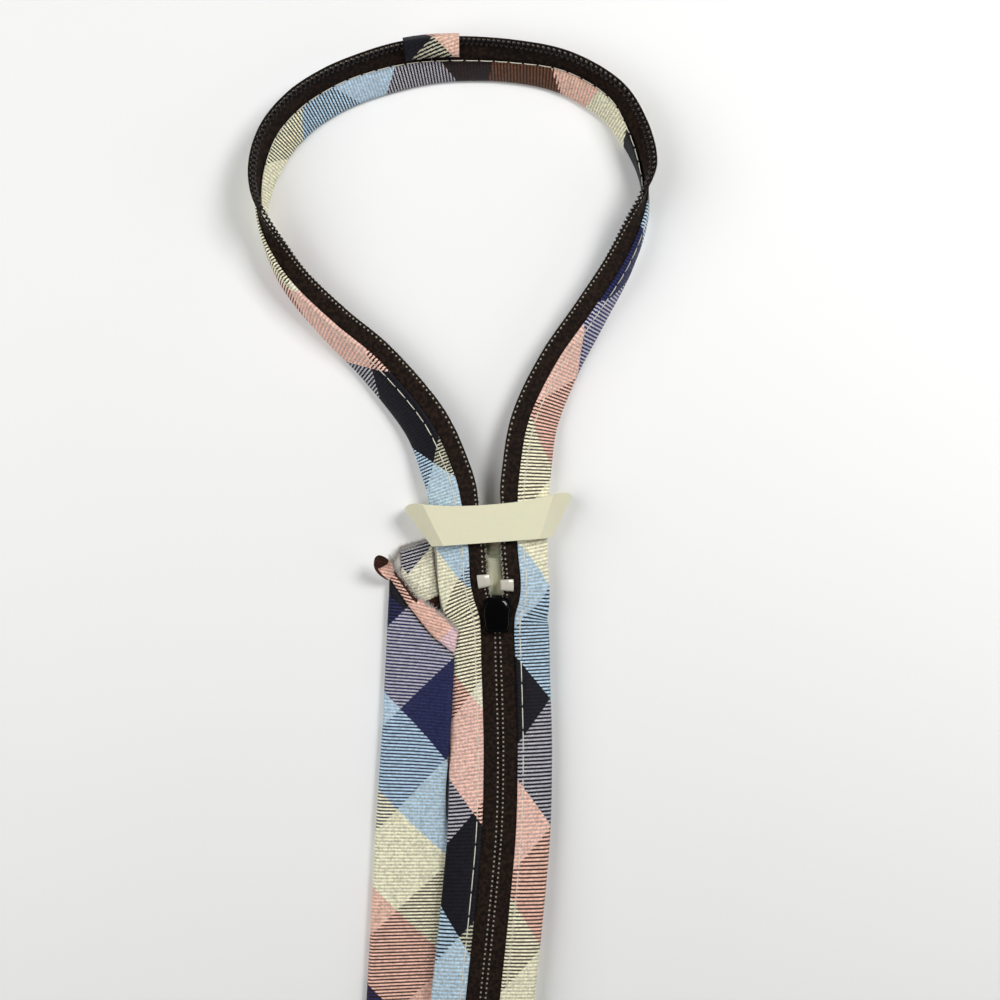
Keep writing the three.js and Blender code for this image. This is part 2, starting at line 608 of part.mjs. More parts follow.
/** Seam allowance that stands along the slanted flap end and laps over the band's edge. */
function makeStrip() {
  const start = new THREE.Vector2(...SLANT_END[1]).multiplyScalar(BLADE_WIDTH);
  const end = new THREE.Vector2(...SLANT_END[2]).multiplyScalar(BLADE_WIDTH);
  const way = end.clone().sub(start);
  const normal = new THREE.Vector2(-way.y, way.x).normalize();
  const rest = BLADE_THICKNESS + GAP;
  const rows = [
    { run: 0.03, width: 0.2, lift: 0 }, { run: 0.2, width: 0.8, lift: 0 }, { run: 0.45, width: 1, lift: 0 },
    { run: 0.68, width: 1.1, lift: 0.9 }, { run: 0.84, width: 1.2, lift: 3.2 }, { run: 0.97, width: 1.1, lift: 4.6 },
  ];
  return skin(rows.map((row) => {
    const foot = start.clone().addScaledVector(way, row.run).addScaledVector(normal, -1);
    const edge = foot.clone().addScaledVector(normal, STRIP_WIDTH * row.width);
    const z = rest + row.lift;
    return [
      new THREE.Vector3(foot.x, foot.y, z), new THREE.Vector3(edge.x, edge.y, z),
      new THREE.Vector3(edge.x, edge.y, z + STRIP_THICKNESS), new THREE.Vector3(foot.x, foot.y, z + STRIP_THICKNESS),
    ];
  }));
}

/** The corner of the cloth that has curled over itself at the blade's upper left. */
function makeCurl() {
  const rings = [];
  for (let i = 0; i <= 12; i += 1) {
    const angle = rad(-200 + (i / 12) * 290);
    const ring = [];
    for (const [r, side] of [[0, -1], [0, 1], [STRIP_THICKNESS, 1], [STRIP_THICKNESS, -1]]) {
      const radius = CURL_RADIUS + r;
      ring.push(new THREE.Vector3(radius * Math.cos(angle), side * CURL_WIDTH / 2, radius * Math.sin(angle)));
    }
    rings.push(ring);
  }
  const corner = new THREE.Vector2(...SLANT_END[1]).multiplyScalar(BLADE_WIDTH);
  const radius = CURL_RADIUS + STRIP_THICKNESS;
  return skin(rings).rotateZ(rad(38)).translate(corner.x - 1.4, corner.y + 3.2, radius + UNDER_FLAP_TOP + GAP);
}

/** Plain tab that closes the lower end of the zipper. */
function makeEndTab(rows) {
  const last = rows.length - 1;
  const [left, right] = [frameAt(rows, 0).at, frameAt(rows, last).at];
  const across = frameAt(rows, 0).clothWay;
  const half = (right.x - left.x) / 2 + CASING_DEPTH - 1;
  const outline = [
    [-half, 0], [-half + 1.5, -END_TAB_LENGTH], [half - 1.5, -END_TAB_LENGTH], [half, 0],
  ];
  const z = left.z - END_TAB_THICKNESS / 2;
  const top = left.y - Math.abs(across.y) * CASING_DEPTH - GAP;
  return prism(outline, z, z + END_TAB_THICKNESS).translate((left.x + right.x) / 2, top, 0);
}

const rows = bandRows();
const frames = bandFrames(rows);
const nape = CHAIN_STATIONS.length + THROAT_STATIONS.length + NAPE_STATION;

const MATERIALS = {
  cloth: new THREE.MeshStandardMaterial({ color: 0x8f96b0, roughness: 0.8, metalness: 0 }),
  blade: new THREE.MeshStandardMaterial({ color: 0xb9a7a6, roughness: 0.8, metalness: 0 }),
  tape: new THREE.MeshStandardMaterial({ color: 0x1d1716, roughness: 0.85, metalness: 0 }),
  coil: new THREE.MeshStandardMaterial({ color: 0x171313, roughness: 0.5, metalness: 0 }),
  former: new THREE.MeshStandardMaterial({ color: 0xe8e6cc, roughness: 0.25, metalness: 0 }),
  slider: new THREE.MeshStandardMaterial({ color: 0x0c0c0d, roughness: 0.2, metalness: 0.3 }),
  stop: new THREE.MeshStandardMaterial({ color: 0xb9b8b4, roughness: 0.2, metalness: 0.8 }),
  core: new THREE.MeshStandardMaterial({ color: 0xc9c5c2, roughness: 0.95, metalness: 0 }),
};

/** Adds one named mesh to the group. */
function add(group, name, geometry, material) {
  const mesh = new THREE.Mesh(geometry, material);
  mesh.name = name;
  group.add(mesh);
}

/** Frames of one tape half, from its lower end to just short of the nape. */
function halfFrames(side) {
  return side === 'left'
    ? [...frames.filter((f) => f.u < nape - NAPE_GAP), frameAt(rows, nape - NAPE_GAP)]
    : [frameAt(rows, nape + NAPE_GAP), ...frames.filter((f) => f.u > nape + NAPE_GAP)];
}

const tie = new THREE.Group();
tie.position.set(0, KNOT_TO_REST, 0);
add(tie, 'cloth_band', bandPiece(frames, casingSection), MATERIALS.cloth);
for (const side of ['left', 'right']) {
  add(tie, `tape_${side}`, bandPiece(halfFrames(side), tapeSection), MATERIALS.tape);
  add(tie, `coil_${side}`, bandPiece(halfFrames(side), coilSection), MATERIALS.coil);
  add(tie, `stop_${side}`, makeStop(rows, side), MATERIALS.stop);
}
add(tie, 'slider', makeSlider(rows), MATERIALS.slider);
add(tie, 'knot_former', makeFormer(), MATERIALS.former);
add(tie, 'nape_keeper', makeKeeper(rows), MATERIALS.cloth);
add(tie, 'blade', makeBlade(), MATERIALS.blade);
add(tie, 'blade_core', makeCore(), MATERIALS.core);
add(tie, 'seam_strip', makeStrip(), MATERIALS.blade);
add(tie, 'corner_curl', makeCurl(), MATERIALS.blade);
add(tie, 'end_tab', makeEndTab(rows), MATERIALS.tape);

export default tie;
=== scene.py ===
"""Looks of a zipper tie that lies face down on a pale table.

The reverse of the neck band, the bare knot former and the folded back of the blade look up.
Lengths are millimetres until a mesh is made. X runs across the tie and Y from knot to nape.
"""

import logging
import math
import random
from dataclasses import dataclass, field
from enum import Enum

import bmesh
import bpy
import numpy as np
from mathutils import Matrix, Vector

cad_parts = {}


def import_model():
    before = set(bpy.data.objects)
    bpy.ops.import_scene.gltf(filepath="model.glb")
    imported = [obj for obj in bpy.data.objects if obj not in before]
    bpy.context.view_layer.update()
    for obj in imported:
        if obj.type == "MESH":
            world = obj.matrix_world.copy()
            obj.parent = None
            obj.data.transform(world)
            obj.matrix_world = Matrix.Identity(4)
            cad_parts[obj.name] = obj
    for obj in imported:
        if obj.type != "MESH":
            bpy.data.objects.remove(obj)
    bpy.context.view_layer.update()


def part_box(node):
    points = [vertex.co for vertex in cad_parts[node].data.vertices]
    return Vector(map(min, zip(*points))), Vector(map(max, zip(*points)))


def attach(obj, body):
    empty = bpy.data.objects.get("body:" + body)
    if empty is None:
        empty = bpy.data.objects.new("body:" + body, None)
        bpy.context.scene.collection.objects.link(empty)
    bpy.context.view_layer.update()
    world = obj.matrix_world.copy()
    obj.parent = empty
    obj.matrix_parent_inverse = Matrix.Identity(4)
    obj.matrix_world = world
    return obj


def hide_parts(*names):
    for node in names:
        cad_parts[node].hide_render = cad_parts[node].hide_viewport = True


LOG = logging.getLogger("zipper_tie")
MM = 0.001
GAP = 0.3
# Width of a stripe past the ends of the tables of stripes.
STRIPE = 35.0

# Loop seam: across, along, edge, tape lean and cloth lean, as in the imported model.
LOOP_STATIONS = (
    (-0.088, 0.040, 0.99, 180, 157), (-0.109, 0.112, 0.89, 180, 154), (-0.172, 0.225, 0.40, 175, 142),
    (-0.295, 0.346, 0.06, 172, 133), (-0.404, 0.422, 0.00, 172, 119), (-0.502, 0.499, 0.00, 164, 107),
    (-0.556, 0.559, 0.00, 152, 99), (-0.589, 0.624, 0.00, 120, 92), (-0.601, 0.695, 0.00, 82, 81),
    (-0.594, 0.767, 0.00, 63, 63), (-0.563, 0.840, 0.00, 56, 46), (-0.503, 0.899, 0.00, 53, 39),
    (-0.430, 0.941, 0.00, 53, 37), (-0.350, 0.971, 0.00, 53, 37), (-0.230, 0.995, 0.00, 42, 45),
    (-0.107, 1.001, 0.00, 34, 57), (0.050, 0.996, 0.00, 43, 60), (0.188, 0.978, 0.00, 54, 52),
    (0.302, 0.921, 0.00, 51, 54), (0.354, 0.844, 0.00, 41, 73), (0.382, 0.769, 0.00, 50, 88),
    (0.391, 0.709, 0.00, 92, 94), (0.383, 0.646, 0.00, 132, 98), (0.338, 0.554, 0.00, 163, 105),
    (0.255, 0.447, 0.00, 172, 116), (0.171, 0.346, 0.06, 172, 132), (0.102, 0.227, 0.40, 176, 146),
    (0.077, 0.112, 0.85, 179, 154), (0.072, 0.040, 0.99, 180, 157),
)
# Throat above the slider: down, left, right, edge and cloth lean.
THROAT_STATIONS = (
    (0.214, -0.072, 0.072, 0.99, 157), (0.565, -0.067, 0.080, 0.97, 158), (0.772, -0.057, 0.077, 0.93, 160),
)
# Closed zipper: down, across, edge and cloth lean.
CHAIN_STATIONS = (
    (0.000, 0.011, 0.89, 163), (0.083, 0.014, 0.87, 168), (0.181, 0.018, 0.85, 172),
    (0.285, 0.020, 0.85, 173),
    (0.438, 0.015, 0.95, 174), (0.615, -0.005, 1.21, 174), (0.750, -0.023, 1.33, 174),
    (1.000, -0.056, 1.05, 174),
)
# Arc lengths at the band's folded edge where the stripes of each yarn set begin, in millimetres.
WARP_STARTS = (60, 98, 132, 167, 200, 235, 270, 310, 341.5, 373.5, 397.5, 406, 425, 447, 459, 499, 529, 565,
               599, 636, 671,
               706)
WEFT_STARTS = (42, 77, 113, 147, 184, 216, 248, 277, 303, 334, 365, 398, 425, 463, 497, 531, 563, 597, 635,
               671, 706)
# Slant of each yarn set's stripes across the band, by arc length.
WARP_SHEAR = ((0, 1.3), (255, 1.3), (290, 0.9), (310, 0.9), (341, 0.6), (373, 0.25), (397, -0.75), (406, 0.1),
              (425, -0.55),
              (447, 0.5), (460, 1.3), (720, 1.3))
WEFT_SHEAR = ((0, 1.3), (255, 1.3), (290, 0.7), (303, 0.5), (333, 0.75), (365, 0.55), (425, 0.55), (445, 0.9),
              (460, 1.3),
              (720, 1.3))
# Slant and pitch of the twill lines, by arc length, rounded from readings along the band.
TWILL_SLANT = (
    (0, 0.1), (60, 0.1), (100, 0.16), (140, 0.22), (160, 0.15), (180, 0.13), (195, 0.0), (230, -0.03),
    (250, 0.09), (258, 0.0),
    (290, -0.05), (300, -0.22), (310, -0.15), (330, -0.03), (345, 0.1), (370, 0.08), (395, 0.06), (414, 0.22),
    (432, 0.0),
    (470, 0.07), (490, 0.18), (510, 0.12), (530, 0.08), (550, 0.12), (565, 0.08), (580, 0.0), (600, 0.0),
    (640, 0.1), (720, 0.06),
)
TWILL_PITCH = (
    (0, 1.12), (50, 1.13), (90, 1.13), (100, 1.06), (160, 1.05), (180, 1.0), (200, 0.98), (220, 1.06),
    (250, 1.12), (290, 0.86),
    (300, 0.92), (320, 0.95), (345, 0.95), (355, 0.91), (390, 0.98), (420, 0.95), (470, 1.0), (490, 1.08),
    (530, 1.0), (555, 1.1),
    (575, 1.04), (590, 1.03), (610, 1.13), (650, 1.18), (670, 1.05), (720, 0.95),
)


class Yarn(Enum):
    """Colours of the dyed yarns, the tape and the sewing thread, as sRGB hex values."""

    INK = "#1b1b22"
    NAVY = "#2c2f54"
    INDIGO = "#262a5c"
    SKY = "#b7d0e2"
    CREAM = "#f0ecce"
    ROSE = "#f0c2b0"
    LILAC = "#e6e2ec"
    BARK = "#40271d"
    UMBER = "#6e4b38"
    BLUSH = "#eccbd2"
    TAPE = "#16110e"
    THREAD = "#e4dfcd"


class Side(Enum):
    """The two halves of the zipper, as seen from behind."""

    LEFT = "left"
    RIGHT = "right"


class Layer(Enum):
    """Parts of the folded blade's section."""

    TOP = "top"
    FOLD = "fold"
    BOTTOM = "bottom"


def linear(colour: str) -> tuple[float, float, float, float]:
    """Turn an sRGB hex value into a linear colour.

    Args:
        colour: The value as "#rrggbb".

    Returns:
        Red, green, blue and alpha, linear.
    """
    parts = [int(colour[i:i + 2], 16) / 255 for i in (1, 3, 5)]
    line = [c / 12.92 if c <= 0.04045 else ((c + 0.055) / 1.055) ** 2.4 for c in parts]
    return (*line, 1.0)


def add_node(tree: bpy.types.NodeTree, kind: str, settings: dict | None = None,
             links: dict | None = None) -> bpy.types.Node:
    """Add one node with its settings and the links that come into it.

    Args:
        tree: The node tree it goes in.
        kind: The node's type name without the leading ShaderNode.
        settings: Property names, or socket names and numbers, and their values.
        links: Input sockets' names or numbers, and the output sockets linked to them.

    Returns:
        The new node.
    """
    node = tree.nodes.new("ShaderNode" + kind)
    for key, value in (settings or {}).items():
        if isinstance(key, str) and hasattr(node, key):
            setattr(node, key, value)
        else:
            node.inputs[key].default_value = value
    for key, socket in (links or {}).items():
        tree.links.new(socket, node.inputs[key])
    return node


def blank_material(name: str) -> tuple[bpy.types.Material, bpy.types.NodeTree, bpy.types.Node]:
    """Make a material with an output and no shader yet.

    Args:
        name: The material's name.

    Returns:
        The material, its tree and its output node.
    """
    material = bpy.data.materials.new(name)
    material.use_nodes = True
    tree = material.node_tree
    tree.nodes.clear()
    return material, tree, add_node(tree, "OutputMaterial")


def stripe_ramp(tree: bpy.types.NodeTree, yarns: tuple[Yarn, ...],
                coordinate: bpy.types.NodeSocket) -> bpy.types.NodeSocket:
    """Pick the stripe colour for a coordinate that counts stripes.

    Args:
        tree: The node tree.
        yarns: One yarn for each stripe, from stripe 0.
        coordinate: The socket that counts stripes.

    Returns:
        The colour socket.
    """
    # A ramp is stored in 256 steps, so 32 stripes fall on whole steps.
    share = add_node(tree, "Math", {"operation": "DIVIDE", 1: 32.0}, {0: coordinate})
    ramp = add_node(tree, "ValToRGB", links={0: share.outputs[0]})
    stops = ramp.color_ramp
    stops.interpolation = "CONSTANT"
    stops.elements[0].color = linear(yarns[0].value)
    stops.elements.remove(stops.elements[1])
    for i, yarn in enumerate(yarns[1:], 1):
        stops.elements.new((i - 0.02) / 32).color = linear(yarn.value)
    return ramp.outputs[0]


@dataclass(frozen=True)
class CheckTwill:
    """Yarn-dyed polyester twill, woven in a two-by-two line and pressed.

    Warp and weft take turns along each twill line, so a cell of two colours shows as fine
    bars and a cell of one colour as faint ribs, their shade painted into the colour. The filament yarn gives
    a soft sheen.
    """

    name: str
    warp: tuple[Yarn, ...]
    weft: tuple[Yarn, ...]
    dim: float = 1.0
    groove_shade_floor: float = 0.7
    # Noise cells to the metre: a float strays about every 1.1 mm, and a slub shows every 0.8 mm.
    strays: float = 900.0
    slubs: float = 1300.0

    def build(self) -> bpy.types.Material:
        """Make the material from the maps "check" and "twill"."""
        material, tree, output = blank_material(self.name)
        check = add_node(tree, "SeparateXYZ",
                         links={0: add_node(tree, "UVMap", {"uv_map": "check"}).outputs[0]})
        line = add_node(tree, "SeparateXYZ",
                        links={0: add_node(tree, "UVMap", {"uv_map": "twill"}).outputs[0]})
        warp = stripe_ramp(tree, self.warp, check.outputs[0])
        weft = stripe_ramp(tree, self.weft, check.outputs[1])
        # Each bar is made of short floats, which give it small teeth; every line is staggered.
        stagger = add_node(tree, "Math", {"operation": "MULTIPLY_ADD", 1: 0.37},
                           {0: line.outputs[0], 2: line.outputs[1]})
        floats = add_node(tree, "Math", {"operation": "FRACT"}, {0: stagger.outputs[0]})
        slant = add_node(tree, "Math", {"operation": "MULTIPLY_ADD", 1: 0.2},
                         {0: floats.outputs[0], 2: line.outputs[0]})
        place = add_node(tree, "TexCoord").outputs["Object"]
        stray = add_node(tree, "TexNoise", {"Scale": self.strays, "Detail": 1.0}, {"Vector": place})
        wobble = add_node(tree, "Math", {"operation": "MULTIPLY_ADD", 1: 0.1},
                          {0: stray.outputs[0], 2: slant.outputs[0]})
        turn = add_node(tree, "Math", {"operation": "MULTIPLY", 1: 2 * math.pi}, {0: wobble.outputs[0]})
        wave = add_node(tree, "Math", {"operation": "SINE"}, {0: turn.outputs[0]})
        pick = add_node(tree, "MapRange", {"From Min": 0.12, "From Max": 0.34}, {0: wave.outputs[0]})
        # The warp covers more of the face, so between two pale yarns the weft hardly shows.
        pale_warp = add_node(tree, "RGBToBW", links={0: warp})
        pale_weft = add_node(tree, "RGBToBW", links={0: weft})
        pale = add_node(tree, "Math", {"operation": "MINIMUM"},
                        {0: pale_warp.outputs[0], 1: pale_weft.outputs[0]})
        show = add_node(tree, "MapRange", {"From Min": 0.1, "From Max": 0.35, "To Min": 1.0, "To Max": 0.25},
                        {0: pale.outputs[0]})
        weight = add_node(tree, "Math", {"operation": "MULTIPLY"}, {0: pick.outputs[0], 1: show.outputs[0]})
        mixed = add_node(tree, "Mix", {"data_type": "RGBA"}, {0: weight.outputs[0], 6: warp, 7: weft})
        # The weft's bars lie lower than the warp's, so painted shade makes them darker.
        crest = add_node(tree, "Math", {"operation": "ABSOLUTE"}, {0: wave.outputs[0]})
        painted_groove_shade = add_node(tree, "MapRange",
                          {"From Min": -0.8, "From Max": 0.7, "To Min": 1.16, "To Max": self.groove_shade_floor},
                          {0: wave.outputs[0]})
        # Painted shade darkens the colour towards each float's ends; the same value also drives the bump.
        ends = add_node(tree, "Math", {"operation": "PINGPONG", 1: 0.5}, {0: line.outputs[1]})
        float_end_shade_and_height = add_node(tree, "MapRange", {"From Max": 0.14, "To Min": 0.86, "To Max": 1.0},
                             {0: ends.outputs[0]})
        shade = add_node(tree, "Math", {"operation": "MULTIPLY"},
                         {0: painted_groove_shade.outputs[0], 1: float_end_shade_and_height.outputs[0]})
        uneven = add_node(tree, "TexNoise", {"Scale": self.slubs, "Detail": 1.0}, {"Vector": place})
        drift = add_node(tree, "MapRange",
                         {"From Min": 0.3, "From Max": 0.7, "To Min": 0.76 * self.dim,
                          "To Max": 1.24 * self.dim},
                         {0: uneven.outputs[0]})
        level = add_node(tree, "Math", {"operation": "MULTIPLY"}, {0: shade.outputs[0], 1: drift.outputs[0]})
        tint = add_node(tree, "Mix", {"data_type": "RGBA", "blend_type": "MULTIPLY", 0: 1.0},
                        {6: mixed.outputs[2], 7: level.outputs[0]})
        height = add_node(tree, "Math", {"operation": "MULTIPLY_ADD", 1: 0.4},
                          {0: float_end_shade_and_height.outputs[0], 2: crest.outputs[0]})
        bump = add_node(tree, "Bump", {"Strength": 0.55, "Distance": 0.00012}, {"Height": height.outputs[0]})
        shader = add_node(tree, "BsdfPrincipled",
                          {"Roughness": 0.62, "IOR": 1.45, "Specular IOR Level": 0.25, "Sheen Weight": 0.04,
                           "Sheen Roughness": 0.4},
                          {"Base Color": tint.outputs[2], "Normal": bump.outputs[0]})
        tree.links.new(shader.outputs[0], output.inputs[0])
        return material


@dataclass(frozen=True)
class WovenTape:
    """Polyester zipper tape, shuttle-woven and piece-dyed: matt, with fine ribs along it."""

    name: str = "zipper_tape_weave"
    colour: Yarn = Yarn.TAPE
    # Real ribs are 0.4 mm apart and would alias, so they are drawn 0.75 mm apart.
    rib: float = 0.75
    pick: float = 0.8
    speckles: float = 950.0
    stitch: float = 0.45
    stitch_inset: float = 0.75

    def build(self) -> bpy.types.Material:
        """Make the material from the map "tape", in millimetres along and across."""
        material, tree, output = blank_material(self.name)
        place = add_node(tree, "SeparateXYZ",
                         links={0: add_node(tree, "UVMap", {"uv_map": "tape"}).outputs[0]})
        along = add_node(tree, "Math", {"operation": "MULTIPLY", 1: 2 * math.pi / self.pick},
                         {0: place.outputs[0]})
        across = add_node(tree, "Math", {"operation": "MULTIPLY_ADD", 1: 2 * math.pi / self.rib},
                          {0: place.outputs[1], 2: along.outputs[0]})
        other = add_node(tree, "Math", {"operation": "MULTIPLY_ADD", 1: -2 * math.pi / self.rib},
                         {0: place.outputs[1], 2: along.outputs[0]})
        one = add_node(tree, "Math", {"operation": "SINE"}, {0: across.outputs[0]})
        two = add_node(tree, "Math", {"operation": "SINE"}, {0: other.outputs[0]})
        weave = add_node(tree, "Math", {"operation": "MULTIPLY"}, {0: one.outputs[0], 1: two.outputs[0]})
        rib_relief_and_shade = add_node(tree, "Math", {"operation": "MULTIPLY", 1: 0.12}, {0: weave.outputs[0]})
        spot = add_node(tree, "TexCoord").outputs["Object"]
        fuzz = add_node(tree, "TexNoise", {"Scale": self.speckles, "Detail": 2.0}, {"Vector": spot})
        height = add_node(tree, "Math", {"operation": "MULTIPLY_ADD", 1: 1.0},
                          {0: fuzz.outputs[0], 2: rib_relief_and_shade.outputs[0]})
        # The lighter tone follows random speckle and the weave's ribs; on the ribs it is painted shade and
        # highlight.
        base = linear(self.colour.value)
        light = (3.2 * base[0], 2.6 * base[1], 2.3 * base[2], 1.0)
        level = add_node(tree, "MapRange", {"From Min": 0.44, "From Max": 0.62}, {0: height.outputs[0]})
        tint = add_node(tree, "Mix", {"data_type": "RGBA", 6: base, 7: light}, {0: level.outputs[0]})
        bump = add_node(tree, "Bump", {"Strength": 0.5, "Distance": 0.00012}, {"Height": height.outputs[0]})
        # The chain stitch that holds each turn of the coil shows as a pale dot near the edge.
        seam = add_node(tree, "SeparateXYZ",
                        links={0: add_node(tree, "UVMap", {"uv_map": "stitch"}).outputs[0]})
        phase = add_node(tree, "Math", {"operation": "PINGPONG", 1: 0.5}, {0: seam.outputs[0]})
        dash = add_node(tree, "MapRange", {"From Min": 0.13, "From Max": 0.2, "To Min": 1.0, "To Max": 0.0},
                        {0: phase.outputs[0]})
        depth = add_node(tree, "Math", {"operation": "SUBTRACT", 1: self.stitch_inset}, {0: seam.outputs[1]})
        away = add_node(tree, "Math", {"operation": "ABSOLUTE"}, {0: depth.outputs[0]})
        near = add_node(tree, "MapRange",
                        {"From Min": 0.16, "From Max": 0.28, "To Min": self.stitch, "To Max": 0.0},
                        {0: away.outputs[0]})
        dot = add_node(tree, "Math", {"operation": "MULTIPLY"}, {0: dash.outputs[0], 1: near.outputs[0]})
        dotted = add_node(tree, "Mix", {"data_type": "RGBA", 7: linear(Yarn.THREAD.value)},
                          {0: dot.outputs[0], 6: tint.outputs[2]})
        shader = add_node(tree, "BsdfPrincipled", {"Roughness": 0.85, "IOR": 1.45, "Specular IOR Level": 0.2},
                          {"Base Color": dotted.outputs[2], "Normal": bump.outputs[0]})
        tree.links.new(shader.outputs[0], output.inputs[0])
        return material


@dataclass(frozen=True)
class NylonCoil:
    """Nylon monofilament, extruded and wound into a flat coil, then dyed black-brown.

    It is half glossy. In the open throat the head and the back of each turn carry a painted highlight.
    """

    name: str = "nylon_coil"
    colour: str = "#171211"
    painted_glint: str = "#e8e2d8"

    def build(self) -> bpy.types.Material:
        """Make the material from the map "turn": turns of the coil, and how open the throat is."""
        material, tree, output = blank_material(self.name)
        turn = add_node(tree, "SeparateXYZ",
                        links={0: add_node(tree, "UVMap", {"uv_map": "turn"}).outputs[0]})
        share = add_node(tree, "Math", {"operation": "FRACT"}, {0: turn.outputs[0]})
        # Painted highlight at the head (0 and 1) and the back (0.5) of each turn, strong only in the throat.
        spots = []
        for place in (0.0, 0.5, 1.0):
            off = add_node(tree, "Math", {"operation": "SUBTRACT", 1: place}, {0: share.outputs[0]})
            far = add_node(tree, "Math", {"operation": "ABSOLUTE"}, {0: off.outputs[0]})
            spots.append(add_node(tree, "MapRange",
                                  {"From Min": 0.07, "From Max": 0.12, "To Min": 1.0, "To Max": 0.0},
                                  {0: far.outputs[0]}))
        pair = add_node(tree, "Math", {"operation": "MAXIMUM"},
                        {0: spots[0].outputs[0], 1: spots[1].outputs[0]})
        head = add_node(tree, "Math", {"operation": "MAXIMUM"}, {0: pair.outputs[0], 1: spots[2].outputs[0]})
        bare = add_node(tree, "MapRange", {"To Min": 0.05}, {0: turn.outputs[1]})
        painted_glint_mask = add_node(tree, "Math", {"operation": "MULTIPLY"}, {0: head.outputs[0], 1: bare.outputs[0]})
        tint = add_node(tree, "Mix", {"data_type": "RGBA", 6: linear(self.colour), 7: linear(self.painted_glint)},
                        {0: painted_glint_mask.outputs[0]})
        shader = add_node(tree, "BsdfPrincipled", {"Roughness": 0.38, "IOR": 1.53},
                          {"Base Color": tint.outputs[2]})
        tree.links.new(shader.outputs[0], output.inputs[0])
        return material


@dataclass(frozen=True)
class Surface:
    """A smooth moulded, drawn or plated surface with slight unevenness.

    Gloss says how it was made: a low roughness is a polished mould or lacquer, a high one
    is spun thread. The speckle breaks the colour up so that it doesn't look painted.
    """

    name: str
    colour: str
    roughness: float
    metallic: float = 0.0
    coat: float = 0.0
    subsurface: float = 0.0
    gloss: float = 0.5
    grain: float = 400.0
    relief: float = 0.00003
    spread: float = 0.08

    def build(self) -> bpy.types.Material:
        """Make the material from its numbers."""
        material, tree, output = blank_material(self.name)
        base = linear(self.colour)
        dark = tuple(c * (1 - self.spread) for c in base[:3]) + (1.0,)
        light = tuple(min(1.0, c * (1 + self.spread)) for c in base[:3]) + (1.0,)
        cloud = add_node(tree, "TexNoise", {"Scale": self.grain, "Detail": 4.0})
        tint = add_node(tree, "Mix", {"data_type": "RGBA", 6: dark, 7: light}, {0: cloud.outputs[0]})
        rough = add_node(tree, "MapRange", {"To Min": 0.85 * self.roughness, "To Max": 1.2 * self.roughness},
                         {0: cloud.outputs[0]})
        bump = add_node(tree, "Bump", {"Strength": 0.3, "Distance": self.relief},
                        {"Height": cloud.outputs[0]})
        settings = {"Metallic": self.metallic, "Coat Weight": self.coat, "Coat Roughness": 0.06,
                    "Specular IOR Level": self.gloss,
                    "Subsurface Weight": self.subsurface, "Subsurface Scale": 0.002}
        shader = add_node(tree, "BsdfPrincipled", settings,
                          {"Base Color": tint.outputs[2], "Roughness": rough.outputs[0],
                           "Normal": bump.outputs[0]})
        tree.links.new(shader.outputs[0], output.inputs[0])
        return material


def make_piece(name: str, points: np.ndarray, faces: list, maps: dict | None = None,
               smooth: bool = True) -> bpy.types.Object:
    """Make a mesh object in the row frame.

    Args:
        name: The piece's name.
        points: One row for each vertex, in millimetres.
        faces: Vertex numbers of each face.
        maps: UV map names, each with one row of two numbers for each vertex.
        smooth: Whether its faces are shaded smooth.

    Returns:
        The object, linked to the scene.
    """
    mesh = bpy.data.meshes.new(name)
    mesh.from_pydata((np.asarray(points) * MM).tolist(), [], faces)
    corners = np.zeros(len(mesh.loops), np.int32)
    mesh.loops.foreach_get("vertex_index", corners)
    for title, values in (maps or {}).items():
        layer = mesh.uv_layers.new(name=title)
        layer.data.foreach_set("uv", np.asarray(values, np.float32)[corners].ravel())
    mesh.polygons.foreach_set("use_smooth", [smooth] * len(mesh.polygons))
    mesh.update()
    piece = bpy.data.objects.new(name, mesh)
    bpy.context.scene.collection.objects.link(piece)
    return piece


def sweep_faces(rings: int, count: int, closed: bool = True, capped: bool = True) -> list:
    """Faces of a skin through rings of points.

    Args:
        rings: How many rings there are.
        count: How many points each ring has.
        closed: Whether each ring's last point joins its first.
        capped: Whether the two ends are closed.

    Returns:
        The faces, as lists of vertex numbers.
    """
    faces = []
    for r in range(rings - 1):
        for i in range(count if closed else count - 1):
            j = (i + 1) % count
            faces.append((r * count + i, r * count + j, (r + 1) * count + j, (r + 1) * count + i))
    if capped and closed:
        faces.append(tuple(range(count - 1, -1, -1)))
        faces.append(tuple((rings - 1) * count + i for i in range(count)))
    return faces


def face_out(piece: bpy.types.Object) -> bpy.types.Object:
    """Turn a closed piece's faces to look out.

    Args:
        piece: The object to mend.

    Returns:
        The same object.
    """
    mesh = bmesh.new()
    mesh.from_mesh(piece.data)
    bmesh.ops.recalc_face_normals(mesh, faces=mesh.faces)
    mesh.to_mesh(piece.data)
    mesh.free()
    return piece


def finish_piece(piece: bpy.types.Object, material: bpy.types.Material, slot: str,
                 *nodes: str) -> bpy.types.Object:
    """Give a piece its material and body, and hide the CAD nodes that it stands for.

    Args:
        piece: The object.
        material: Its material.
        slot: Not used.
        nodes: Names of CAD nodes that it replaces.

    Returns:
        The same object.
    """
    piece.data.materials.clear()
    piece.data.materials.append(material)
    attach(piece, "root")
    if nodes:
        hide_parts(*nodes)
    return piece


